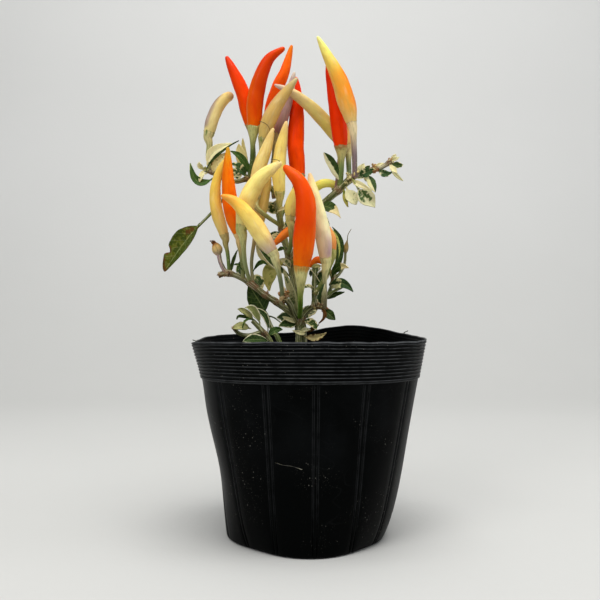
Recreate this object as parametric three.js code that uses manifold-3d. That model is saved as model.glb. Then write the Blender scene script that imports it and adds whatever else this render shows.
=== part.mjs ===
// A potted ornamental chilli pepper plant: a thin black nursery pot filled with soil, a short woody
// trunk that forks into leafy stems, and upright pods, each on its own stalk and calyx.
// Millimetres, +Z up. The origin is the centre of the pot's flat base, and the plant's show side
// faces -Y.
import * as THREE from "three";
import { mergeVertices } from "three/addons/utils/BufferGeometryUtils.js";
import Module from "manifold-3d";

const wasm = await Module();
wasm.setup();

// Driving sizes of the pot
const POT_HEIGHT = 99.5;
const RIM_HALF_WIDTH = 58.7;
const RIM_HALF_DEPTH = 52.5;
const RIM_SQUARENESS = 2.6;
const BASE_RADIUS = 42.3;
const FOOT_TUCK = 4;
const POT_WALL = 0.9;
const POT_FLOOR = 1.2;
const PANELS = 14;
const PANEL_TURN = 3.5;
const POT_SEGMENTS = 3 * PANELS;
const GROOVE_DEPTH = 0.3;
const BAND_HEIGHT = 18;
const BAND_STAND_OUT = 0.7;
const BAND_RIDGES = 11;
const INNER_RIDGES = 4;
const RIDGE_DEPTH = 0.45;
const DRAIN_HOLES = 7;
const DRAIN_RADIUS = 4;
const DRAIN_RING = 30;

// Driving sizes of the soil and the plant
const SOIL_TOP = 84;
const SOIL_MOUND = 1.1;
const SOIL_LUMP = 1.1;
const LUMP_SPACING = 23;
const HOLES = [[-3.7, 0, 3.5], [-18.5, -12, 2], [-14, -6, 2.2]];
const GAP = 0.3;
const BLADE = 0.7;
const POD_SIDES = 8;
const POD_RINGS = 7;
const STEM_SIDES = 5;

const COLOURS = {
  black: 0x17181a,
  soil: 0x3b2c20,
  stem: 0x6f7a48,
  leaf: 0x57693a,
  red: 0xd8300c,
  orange: 0xf06a10,
  yellow: 0xf2cf66,
  cream: 0xe9dcae,
  mauve: 0xa79a92,
};

// Turns a three.js geometry into a closed solid that can be joined and cut
function solidFrom(geometry) {
  const g = geometry.clone();
  g.deleteAttribute("normal");
  g.deleteAttribute("uv");
  const merged = mergeVertices(g, 1e-4);
  const index = Array.from(merged.index.array);
  const triangles = [];
  for (let i = 0; i < index.length; i += 3) {
    const [a, b, c] = index.slice(i, i + 3);
    if (a !== b && b !== c && c !== a) triangles.push(a, b, c);
  }
  const vertProperties = new Float32Array(merged.attributes.position.array);
  return new wasm.Manifold(
    new wasm.Mesh({ numProp: 3, vertProperties, triVerts: new Uint32Array(triangles) }),
  );
}

// Makes a solid into a named mesh with its finish
function meshFrom(solid, name, colour, roughness) {
  const made = solid.getMesh();
  const g = new THREE.BufferGeometry();
  g.setAttribute("position", new THREE.BufferAttribute(made.vertProperties, 3));
  g.setIndex(new THREE.BufferAttribute(made.triVerts, 1));
  g.computeVertexNormals();
  const finish = new THREE.MeshStandardMaterial({ color: colour, roughness, metalness: 0 });
  const mesh = new THREE.Mesh(g, finish);
  mesh.name = name;
  return mesh;
}

// A lathe body stood on end: radius(t) and height(t) for t from 0 to 1, closed at both ends
function lathe(radius, height, rings, sides) {
  const profile = [new THREE.Vector2(0, height(0))];
  for (let i = 0; i <= rings; i++) {
    profile.push(new THREE.Vector2(radius(i / rings), height(i / rings)));
  }
  profile.push(new THREE.Vector2(0, height(1)));
  return new THREE.LatheGeometry(profile, sides);
}

// Bends a lathe body of unit height along a line of points, foot first
function alongLine(points, radius, rings, sides) {
  const line = new THREE.CatmullRomCurve3(points.map((p) => new THREE.Vector3(...p)), false, "centripetal");
  const body = lathe(radius, (t) => t, rings, sides);
  const frames = line.computeFrenetFrames(rings, false);
  const place = body.attributes.position;
  for (let i = 0; i < place.count; i++) {
    const t = Math.min(1, Math.max(0, place.getY(i)));
    const k = Math.round(t * rings);
    const at = line.getPointAt(t);
    at.addScaledVector(frames.normals[k], place.getX(i));
    at.addScaledVector(frames.binormals[k], -place.getZ(i));
    place.setXYZ(i, at.x, at.y, at.z);
  }
  return solidFrom(body);
}

// A stem that thins evenly from its first to its last radius
function stem(points, first, last) {
  const rings = Math.round(1.2 * points.length);
  return alongLine(points, (t) => first + (last - first) * t, rings, STEM_SIDES);
}

// One leaf: a thin blade on a midrib through foot, middle and tip, folded along the midrib,
// rolled about it, and waved at its edges
function leaf([foot, middle, tip], width, roll, wave) {
  const rib = new THREE.QuadraticBezierCurve3(
    new THREE.Vector3(...foot),
    new THREE.Vector3(...middle.map((m, i) => 2 * m - (foot[i] + tip[i]) / 2)),
    new THREE.Vector3(...tip),
  );
  const across = 2;
  const along = width > 6 ? 6 : 4;
  const front = new THREE.Vector3(0, -1, 0.25);
  const stride = across + 1;
  const sides = [[], []];
  for (let j = 0; j <= along; j++) {
    const t = j / along;
    const at = rib.getPoint(t);
    const run = rib.getTangent(t);
    const out = front.clone().addScaledVector(run, -front.dot(run)).normalize();
    out.applyAxisAngle(run, THREE.MathUtils.degToRad(roll));
    const side = new THREE.Vector3().crossVectors(run, out);
    const share = j === 0 || j === along ? 0 : Math.sin(Math.PI * t ** 0.8) ** 0.8;
    const half = (share * width) / 2;
    for (let i = 0; i <= across; i++) {
      const u = (2 * i) / across - 1;
      const lift = Math.abs(u) * half * 0.35 + u * u * wave * share * Math.sin(9 * t + 2 * u);
      for (const face of [0, 1]) {
        const p = at.clone().addScaledVector(side, u * half);
        p.addScaledVector(out, lift + (face ? 0.5 : -0.5) * BLADE);
        sides[face].push(p.x, p.y, p.z);
      }
    }
  }
  const count = stride * (along + 1);
  const index = [];
  for (let j = 0; j < along; j++) {
    for (let i = 0; i < across; i++) {
      const a = j * stride + i;
      const b = a + stride;
      index.push(a, a + 1, b, a + 1, b + 1, b);
      index.push(count + a, count + b, count + a + 1, count + a + 1, count + b, count + b + 1);
    }
  }
  const edge = [];
  for (let i = 0; i < across; i++) edge.push(i);
  for (let j = 0; j < along; j++) edge.push(j * stride + across);
  for (let i = across; i > 0; i--) edge.push(along * stride + i);
  for (let j = along; j > 0; j--) edge.push(j * stride);
  edge.forEach((a, k) => {
    const b = edge[(k + 1) % edge.length];
    index.push(b, a, count + a, b, count + a, count + b);
  });
  const g = new THREE.BufferGeometry();
  g.setAttribute("position", new THREE.Float32BufferAttribute([...sides[0], ...sides[1]], 3));
  g.setIndex(index);
  return upright(solidFrom(g), g);
}

// Turns a blade whose faces came out pointing inwards the right way round
function upright(solid, geometry) {
  if (solid.volume() > 0) return solid;
  const index = geometry.index.array;
  const turned = [];
  for (let i = 0; i < index.length; i += 3) turned.push(index[i], index[i + 2], index[i + 1]);
  return solidFrom(geometry.setIndex(turned));
}

// Pot: a round base that grows into a soft square rim
const degrees = (a) => (a * 180) / Math.PI;
const bump = (angle, centre, width) => {
  const away = ((degrees(angle) - centre + 540) % 360) - 180;
  return Math.exp(-((away / width) ** 2));
};

function rimRadius(angle) {
  const x = Math.abs(Math.cos(angle)) / RIM_HALF_WIDTH;
  const y = Math.abs(Math.sin(angle)) / RIM_HALF_DEPTH;
  return (x ** RIM_SQUARENESS + y ** RIM_SQUARENESS) ** (-1 / RIM_SQUARENESS);
}

// Outer radius of the plain wall. The soft film is pressed in on its left flank, at mid-height and
// at the band, and its foot is tucked in on the right and beside the front.
function wallRadius(angle, z) {
  const flank = 2.6 * Math.exp(-(((z - 34) / 26) ** 2)) + 1.8 * Math.exp(-(((z - 82) / 15) ** 2));
  const foot = bump(angle, 0, 30) + bump(angle, 314, 24) + 0.9 * bump(angle, 230, 24);
  const press = flank * bump(angle, 180, 42) + FOOT_TUCK * foot * Math.exp(-z / 10);
  return BASE_RADIUS + (rimRadius(angle) - BASE_RADIUS) * (z / POT_HEIGHT) - press;
}

// The soft rim rises at the back right and dips at the left corner
function rimLift(angle, z) {
  const share = THREE.MathUtils.smoothstep(z, POT_HEIGHT - 1.5 * BAND_HEIGHT, POT_HEIGHT);
  return share * (4.6 * bump(angle, 62, 24) - 2.4 * bump(angle, 180, 26) + 0.5 * bump(angle, 270, 40));
}

// Angle of each column: three to a panel, the first of them in the groove between two panels
function columnAngle(column) {
  const turn = THREE.MathUtils.degToRad(PANEL_TURN);
  return (column / POT_SEGMENTS) * 2 * Math.PI - Math.PI / 2 + turn;
}

// A pot-shaped body from rings of [distance outside the plain wall, height, groove share]. Above
// the height soft, rise(x, y) lifts it in place of the rim's own lift.
function potBody(rings, floorZ, soft = Infinity, rise = null) {
  const profile = [new THREE.Vector2(0, 0)];
  rings.forEach((_, i) => profile.push(new THREE.Vector2(1, i)));
  profile.push(new THREE.Vector2(0, rings.length - 1));
  const body = new THREE.LatheGeometry(profile, POT_SEGMENTS);
  const place = body.attributes.position;
  const rows = rings.length + 2;
  for (let i = 0; i < place.count; i++) {
    const row = i % rows;
    const column = Math.floor(i / rows) % POT_SEGMENTS;
    const angle = columnAngle(column);
    const [out, z, groove] = rings[Math.min(rings.length - 1, Math.max(0, row - 1))];
    if (row === 0 || row === rows - 1) {
      place.setXYZ(i, 0, 0, row === 0 ? floorZ : z + (rise ? rise(0, 0) : 0));
      continue;
    }
    const cut = column % 3 === 0 ? groove * GROOVE_DEPTH : 0;
    const r = wallRadius(angle, z) + out - cut;
    const x = r * Math.cos(angle);
    const y = r * Math.sin(angle);
    place.setXYZ(i, x, y, z + (z > soft ? rise(x, y) : rimLift(angle, z)));
  }
  return upright(solidFrom(body), mergedFaces(body));
}

// The same faces with shared corners and no flat triangles
function mergedFaces(geometry) {
  const g = geometry.clone();
  g.deleteAttribute("normal");
  g.deleteAttribute("uv");
  return mergeVertices(g, 1e-4);
}

function makePot() {
  const bandFoot = POT_HEIGHT - BAND_HEIGHT;
  const outside = [
    [-0.8, 0, 0],
    [0, 0.8, 0.5],
    [0, 8, 1],
    [0, 38, 1],
    [0, 60, 1],
    [0, bandFoot - 0.5, 1],
    [BAND_STAND_OUT, bandFoot, 0],
  ];
  const pitch = BAND_HEIGHT / BAND_RIDGES;
  for (let i = 0; i < BAND_RIDGES; i++) {
    outside.push([BAND_STAND_OUT, bandFoot + (i + 0.35) * pitch, 0]);
    outside.push([BAND_STAND_OUT - RIDGE_DEPTH, bandFoot + (i + 0.9) * pitch, 0]);
  }
  outside.push([BAND_STAND_OUT, POT_HEIGHT, 0]);
  const inside = [
    [-POT_WALL - 0.6, POT_FLOOR, 0],
    [-POT_WALL, POT_FLOOR + 2, 0],
    [-POT_WALL, 8, 0],
    [-POT_WALL, 38, 0],
    [-POT_WALL, 60, 0],
    [-POT_WALL, bandFoot, 0],
  ];
  const wide = BAND_HEIGHT / INNER_RIDGES;
  for (let i = 0; i < INNER_RIDGES; i++) {
    inside.push([RIDGE_DEPTH - POT_WALL, bandFoot + (i + 0.35) * wide, 0]);
    inside.push([-POT_WALL, bandFoot + (i + 0.9) * wide, 0]);
  }
  inside.push([-POT_WALL, POT_HEIGHT + 8, 0]);
  let pot = potBody(outside, 0).subtract(potBody(inside, POT_FLOOR));
  for (let i = 0; i < DRAIN_HOLES; i++) {
    const angle = (i / DRAIN_HOLES) * 2 * Math.PI;
    const hole = new THREE.CylinderGeometry(DRAIN_RADIUS, DRAIN_RADIUS, 6, 10);
    hole.rotateX(Math.PI / 2);
    hole.translate(DRAIN_RING * Math.cos(angle), DRAIN_RING * Math.sin(angle), 0);
    pot = pot.subtract(solidFrom(hole));
  }
  return pot;
}

// The soil's lumps and the low mound that it makes round each stem, against its plain top
function soilRise(x, y) {
  const wave = (2 * Math.PI) / LUMP_SPACING;
  const lumps = SOIL_LUMP * Math.sin(wave * x + 0.8) * Math.sin(wave * y + 1.9);
  const mounds = HOLES.map(([a, b, r]) => Math.exp(-((x - a) ** 2 + (y - b) ** 2) / (3 * r + 8) ** 2));
  return lumps + SOIL_MOUND * mounds.reduce((sum, mound) => sum + mound);
}

// Soil: fills the pot to a little below the band, with an uneven top and plain holes for the stems
function makeSoil() {
  const clear = -POT_WALL - GAP - 0.1;
  const rings = [
    [clear - 0.8, POT_FLOOR + GAP, 0],
    [clear, POT_FLOOR + 2.4, 0],
    [clear, 8, 0],
    [clear, 38, 0],
    [clear, 60, 0],
    [clear, SOIL_TOP - 2.5, 0],
    [clear - 2, SOIL_TOP - 1, 0],
    [clear - 11, SOIL_TOP - 0.5, 0],
    [clear - 20, SOIL_TOP - 0.5, 0],
    [clear - 29, SOIL_TOP - 0.5, 0],
    [clear - 38, SOIL_TOP - 0.5, 0],
  ];
  let soil = potBody(rings, POT_FLOOR + GAP, SOIL_TOP - 2, soilRise);
  for (const [x, y, radius] of HOLES) {
    const hole = new THREE.CylinderGeometry(radius, radius, 44, 12);
    hole.rotateX(Math.PI / 2);
    hole.translate(x, y, SOIL_TOP);
    soil = soil.subtract(solidFrom(hole));
  }
  return soil;
}

// The pods, foot first. girth is the widest diameter, foot is the share of it at the calyx, and tip
// is the radius of the blunt tip. A low taper narrows early, a high one late. stalk runs from the
// stem it grows on up to the calyx.
const PODS = [
  { name: "pod_red_left", on: "upper", colour: "red", girth: 6.8, foot: 0.7, tip: 0.65,
    taper: 1.6, stalkRadius: 0.95,
    line: [[-30, 8, 211], [-34.5, 8, 229], [-38.5, 8, 238], [-43, 8, 247.5]],
    stalk: [[-30.5, 2, 183], [-28.5, 6, 192], [-29, 8, 203]] },
  { name: "pod_orange_red", on: "upper", colour: "red", girth: 8.6, foot: 0.72, tip: 0.8,
    taper: 1.7, stalkRadius: 0.95,
    line: [[-28, 0, 208], [-27, 0, 224], [-23, -0.5, 238], [-19.5, -0.5, 244], [-12, -1, 249]],
    stalk: [[-30.5, 0, 182], [-29, 0, 190.5], [-28.5, 0, 200]] },
  { name: "pod_red_back", on: "upper", colour: "red", girth: 7.4, foot: 0.78, tip: 0.55,
    taper: 1.5, stalkRadius: 0.95,
    line: [[-17.5, 13, 207.5], [-19.5, 13, 216], [-16.5, 13, 231], [-12.5, 13, 240.5], [-8.5, 13, 255]],
    stalk: [[-24, 2, 179.5], [-20, 8, 187], [-17, 12, 200]] },
  { name: "pod_cream_hook", on: "upper", colour: "cream", girth: 6.7, foot: 0.8, tip: 1.9,
    taper: 2.1, stalkRadius: 1.25,
    line: [[-51.3, 2, 205.5], [-49.9, 2, 211.5], [-47, 2, 218.7], [-42.8, 1, 223.4], [-38.5, 0, 225.2]],
    stalk: [[-50, 2, 185.5], [-51.5, 2, 194], [-51, 2, 200]] },
  { name: "pod_tan_upper", on: "upper", colour: "cream", girth: 7.6, foot: 0.8, tip: 0.55,
    taper: 2.1, stalkRadius: 0.95,
    line: [[-22.5, -3, 201.5], [-21.5, -4, 207], [-17, -6, 216.5], [-10.5, -7, 225.5], [-5.5, -8, 231.5]],
    stalk: [[-30, 1, 182], [-25.5, -1, 190], [-23.5, -2.5, 196.5]] },
  { name: "pod_mauve", on: "upper", colour: "mauve", girth: 5.7, foot: 0.85, tip: 0.4,
    taper: 2.1, stalkRadius: 0.95,
    line: [[-16, 6, 205.5], [-12.5, 5, 216], [-8.5, 3, 231.5], [-7, 2, 237.5]],
    stalk: [[-21, 1, 178.5], [-18.5, 5, 190], [-17, 6, 201]] },
  { name: "pod_yellow_leaning", on: "centre", colour: "yellow", girth: 7.1, foot: 0.8, tip: 0.5,
    taper: 2.1, stalkRadius: 0.95,
    line: [[-27, -7, 172], [-25, -8, 185], [-21, -8.5, 196], [-17.5, -9, 206]],
    stalk: [[-13.8, 0, 157.5], [-20, -6.5, 161], [-26.5, -8, 166.5]] },
  { name: "pod_red_centre", on: "centre", colour: "red", girth: 8.8, foot: 0.76, tip: 0.8,
    taper: 2.1, stalkRadius: 0.95,
    line: [[-5, 4, 183.5], [-6.5, 6, 200], [-6, 8, 215.5], [-6, 9, 229.5], [-6.5, 9, 237]],
    stalk: [[-14.5, 1, 162], [-10, 4, 171], [-6, 4, 179]] },
  { name: "pod_orange_tall", on: "right", colour: "yellow", girth: 9.9, foot: 0.49, tip: 0.5,
    taper: 1.3, stalkRadius: 1.2,
    line: [[22, -7, 208.5], [20, -7, 217], [16, -7, 230], [10, -7, 242.5], [4.5, -8, 252.5]],
    stalk: [[24, 0, 182.5], [23.5, -5, 192], [22.8, -7, 202]] },
  { name: "pod_orange_front", on: "trunk", colour: "orange", girth: 10.3, foot: 0.62, tip: 1,
    taper: 2.1, stalkRadius: 1.1,
    line: [[-3.5, -28, 135], [-2.5, -29, 146], [-1.5, -29, 164.5], [-4, -28, 175], [-12, -27, 184]],
    stalk: [[-4.5, -1, 110], [-4, -14, 115.5], [-4, -23, 121.5], [-3.7, -27.5, 129.5]] },
  { name: "pod_yellow_small", on: "centre", colour: "yellow", girth: 6.2, foot: 0.75, tip: 0.5,
    taper: 2.1, stalkRadius: 0.95,
    line: [[-9, -16, 160.5], [-8.5, -17, 166], [-7, -18, 171], [-5.5, -19, 176]],
    stalk: [[-10.5, 0, 143.5], [-9, -8, 146], [-8.5, -14, 151], [-8.7, -16, 156]] },
  { name: "pod_lavender", on: "lower_right", colour: "cream", girth: 8, foot: 0.68, tip: 0.5,
    taper: 2.1, stalkRadius: 0.85,
    line: [[8.5, -16, 139.5], [7.3, -17, 151], [2.5, -18, 171.5], [0.5, -18, 182]],
    stalk: [[8.5, -4, 114.5], [8.5, -10, 122], [8, -14.5, 129], [8.3, -16, 135]] },
  { name: "pod_orange_sliver", on: "lower_right", colour: "orange", girth: 5.5, foot: 0.75, tip: 0.5,
    taper: 2.1, stalkRadius: 0.95,
    line: [[12, -6, 144], [11.3, -6, 150.5], [8, -6, 157], [3.5, -6, 163]],
    stalk: [[3, -5, 122], [8, -6, 130], [11.5, -6, 139]] },
  { name: "pod_yellow_front", on: "trunk", colour: "yellow", girth: 8.3, foot: 0.64, tip: 0.55,
    taper: 2.1, stalkRadius: 0.95,
    line: [[-17.5, -26, 142.5], [-22, -27.3, 149.5], [-28.5, -28.6, 159], [-35.5, -28.6, 166.5],
      [-42, -28.4, 169.5]],
    stalk: [[-13, -10.5, 120.5], [-13.5, -19, 127.5], [-14.7, -24, 134], [-16.2, -25.7, 139.5]] },
  { name: "pod_yellow_outer", on: "left", colour: "yellow", girth: 6.6, foot: 0.7, tip: 0.6,
    taper: 1.7, stalkRadius: 0.8,
    line: [[-42.5, -6, 152], [-46.5, -6, 165], [-47, -6, 176.5], [-44.5, -6.5, 186], [-41.5, -7, 191]],
    stalk: [[-40, -6, 132.5], [-41, -6, 143.5], [-42, -6, 148]] },
  { name: "pod_orange_left", on: "left", colour: "orange", girth: 8, foot: 0.55, tip: 0.55,
    taper: 1.5, stalkRadius: 0.95,
    line: [[-35, -12, 152], [-38.5, -13, 165], [-40, -14, 180.5], [-40, -14, 195.5]],
    stalk: [[-33, -6, 130], [-33.5, -10, 140], [-34.5, -12, 148]] },
  { name: "pod_yellow_large", on: "left", colour: "yellow", girth: 8.8, foot: 0.69, tip: 0.8,
    taper: 2.1, stalkRadius: 0.95,
    line: [[-32.5, -20, 155.5], [-30, -21, 168], [-24.5, -21.5, 177.5], [-17.5, -22, 183.5],
      [-13, -22, 186.5]],
    stalk: [[-29.5, -6, 128], [-31.5, -14, 137.5], [-32, -18.5, 146.5], [-32.3, -19.7, 151.5]] },
  { name: "pod_yellow_inner", on: "left", colour: "yellow", girth: 7.2, foot: 0.7, tip: 0.6,
    taper: 2.1, stalkRadius: 0.75,
    line: [[-25.5, -1, 158.5], [-24.5, -1.5, 166], [-22.5, -2.5, 174], [-19.5, -4.5, 182]],
    stalk: [[-28, -5, 127], [-29, -3, 138], [-28, -2, 147], [-26.3, -1.3, 154.5]] },
  { name: "pod_yellow_centre", on: "centre", colour: "yellow", girth: 6.9, foot: 0.76, tip: 0.5,
    taper: 2.1, stalkRadius: 0.95,
    line: [[-14.5, -7, 173.5], [-15, -8, 183.5], [-14, -8, 194.5], [-11, -9, 209.5]],
    stalk: [[-13.5, 0, 156.5], [-14, -5, 163], [-14.5, -6.7, 169.5]] },
  { name: "pod_cream_arch", on: "right", colour: "cream", girth: 7.7, foot: 0.66, tip: 0.6,
    taper: 2.1, stalkRadius: 0.95,
    line: [[17, 11.5, 199.5], [8, 8.5, 212], [-1, 3, 221], [-10, -2, 226.5], [-17.5, -1, 230]],
    stalk: [[14.5, 3.2, 175.8], [15.5, 4, 184], [16.8, 9.5, 194.5]] },
  { name: "pod_red_right", on: "right", colour: "red", girth: 8.6, foot: 0.76, tip: 0.7,
    taper: 2.1, stalkRadius: 1.35,
    line: [[17, 2.5, 198.6], [16, 2, 208], [13.5, 1.5, 222.5], [10.5, 1, 236.5], [9.5, 1, 242]],
    stalk: [[16.5, 3, 177], [17, 1.5, 187], [17.2, 2.2, 194]] },
  { name: "pod_cream_rear", on: "right", colour: "cream", girth: 5.6, foot: 0.8, tip: 0.6,
    taper: 2.1, stalkRadius: 1.15,
    line: [[22, 13, 201], [22.8, 13.5, 207], [22.5, 14, 213], [20, 14, 221]],
    stalk: [[21.5, 2, 181.5], [21.5, 8, 187], [21.5, 12, 196]] },
  { name: "pod_yellow_arched", on: "right", colour: "yellow", girth: 5, foot: 0.8, tip: 0.8,
    taper: 2.1, stalkRadius: 0.95,
    line: [[-1, 10, 170], [2, 10, 177], [8, 7, 180.5], [14, 7, 180], [19.5, 8, 178]],
    stalk: [[1, 4.5, 160], [-1.5, 8, 162], [-1.5, 10, 166]] },
  { name: "pod_orange_small", on: "centre", colour: "orange", girth: 4.6, foot: 0.85, tip: 0.8,
    taper: 2.1, stalkRadius: 0.95,
    line: [[-4, -8, 156.5], [-8, -9, 155], [-12.5, -9.5, 152], [-17.5, -10, 147]],
    stalk: [[-9.3, 0, 138], [-3.5, -4, 144], [-1.5, -7, 152]] },
  { name: "pod_orange_low", on: "lower_right", colour: "orange", girth: 3.8, foot: 0.8, tip: 0.7,
    taper: 2.1, stalkRadius: 0.7,
    line: [[9.5, 4, 137], [8.2, 4, 139.6], [4.5, 4, 140.2], [0.6, 4, 136.4]],
    stalk: [[11.8, -1, 127], [12.5, 3, 130.5], [11.3, 4, 134.3]] },
];

// The woody stems, from the trunk outwards: [points, first radius, last radius]
const TRUNK = [
  [[[-3.7, 0, 66], [-3.7, 0, 84], [-3.6, 0, 101], [-4.6, 0, 110.5]], 3, 2.9],
  [[[-5, -1, 108], [-7.5, -4.5, 112.5], [-9.5, -8.5, 117.5], [-13.2, -11, 121.5]], 1.6, 1.4],
];
const STEMS = {
  left: [
    [[[-6, 0, 110.5], [-11, -1, 114.5], [-16.5, -3, 118.5], [-22, -5, 122], [-29.5, -6, 128],
      [-33, -6, 130], [-40.5, -6, 133], [-46, -6, 132]], 1.8, 1.1],
    [[[-41.5, -6, 132.5], [-44.5, -6, 138.5], [-45.5, -6, 143.5]], 1, 1],
  ],
  centre: [
    [[[-4.6, 0.5, 110], [-5.5, 1, 119.5], [-9.5, 1, 139], [-13.5, 1, 156.5], [-16.5, 1, 171]], 2, 1.5],
  ],
  upper: [
    [[[-16.6, 1, 171.8], [-18.5, 1, 176.5], [-24, 1, 179.5], [-30.5, 1, 182], [-37, 1, 180.5],
      [-44.5, 1, 183], [-50, 1, 185.5], [-54.5, 1, 187]], 1.5, 0.9],
    [[[-38, 1, 181], [-43, -1, 172], [-50, -2, 163.5], [-56.3, -3, 157]], 0.9, 0.8],
  ],
  right: [
    [[[-9, 1.5, 140.5], [-4, 3, 150.5], [1, 4, 160], [7, 4, 168.5], [15.5, 3, 176],
      [22.5, 1, 182.5], [27.5, 0, 184.5], [33.5, 0, 186.5], [37.5, 0, 187.5], [43, 0, 191]], 1.9, 0.9],
  ],
  lower_right: [
    [[[-3.4, 0.8, 110], [0.3, -0.8, 114.5], [3, -2.8, 116.2], [6, -4, 116.5], [10, -5, 113.5]], 1.5, 1.2],
    [[[3, -4, 116], [3, -5, 128], [3.5, -6, 136]], 1.3, 1.2],
    [[[6, -3, 116], [11, -2, 124], [13.5, -1, 132], [14, 0, 138]], 1, 0.9],
    [[[13, -1, 130], [16.5, -0.5, 133.5], [18.7, 1, 138], [19.3, 2, 144]], 0.8, 0.7],
  ],
  front_shoot: [
    [[[-18.5, -12, 70], [-18.5, -12, 97.5], [-23, -13, 104], [-28, -14, 109.5]], 1.5, 1.2],
    [[[-24, -12.8, 103], [-30, -15, 101.8], [-35, -16, 103.2], [-37.2, -17, 106]], 1.3, 1],
  ],
  rear_shoot: [
    [[[-13.5, -6, 70], [-14.5, -6, 97.5], [-19, -4, 106], [-21.8, -1.5, 113]], 1.6, 1],
  ],
};

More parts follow.
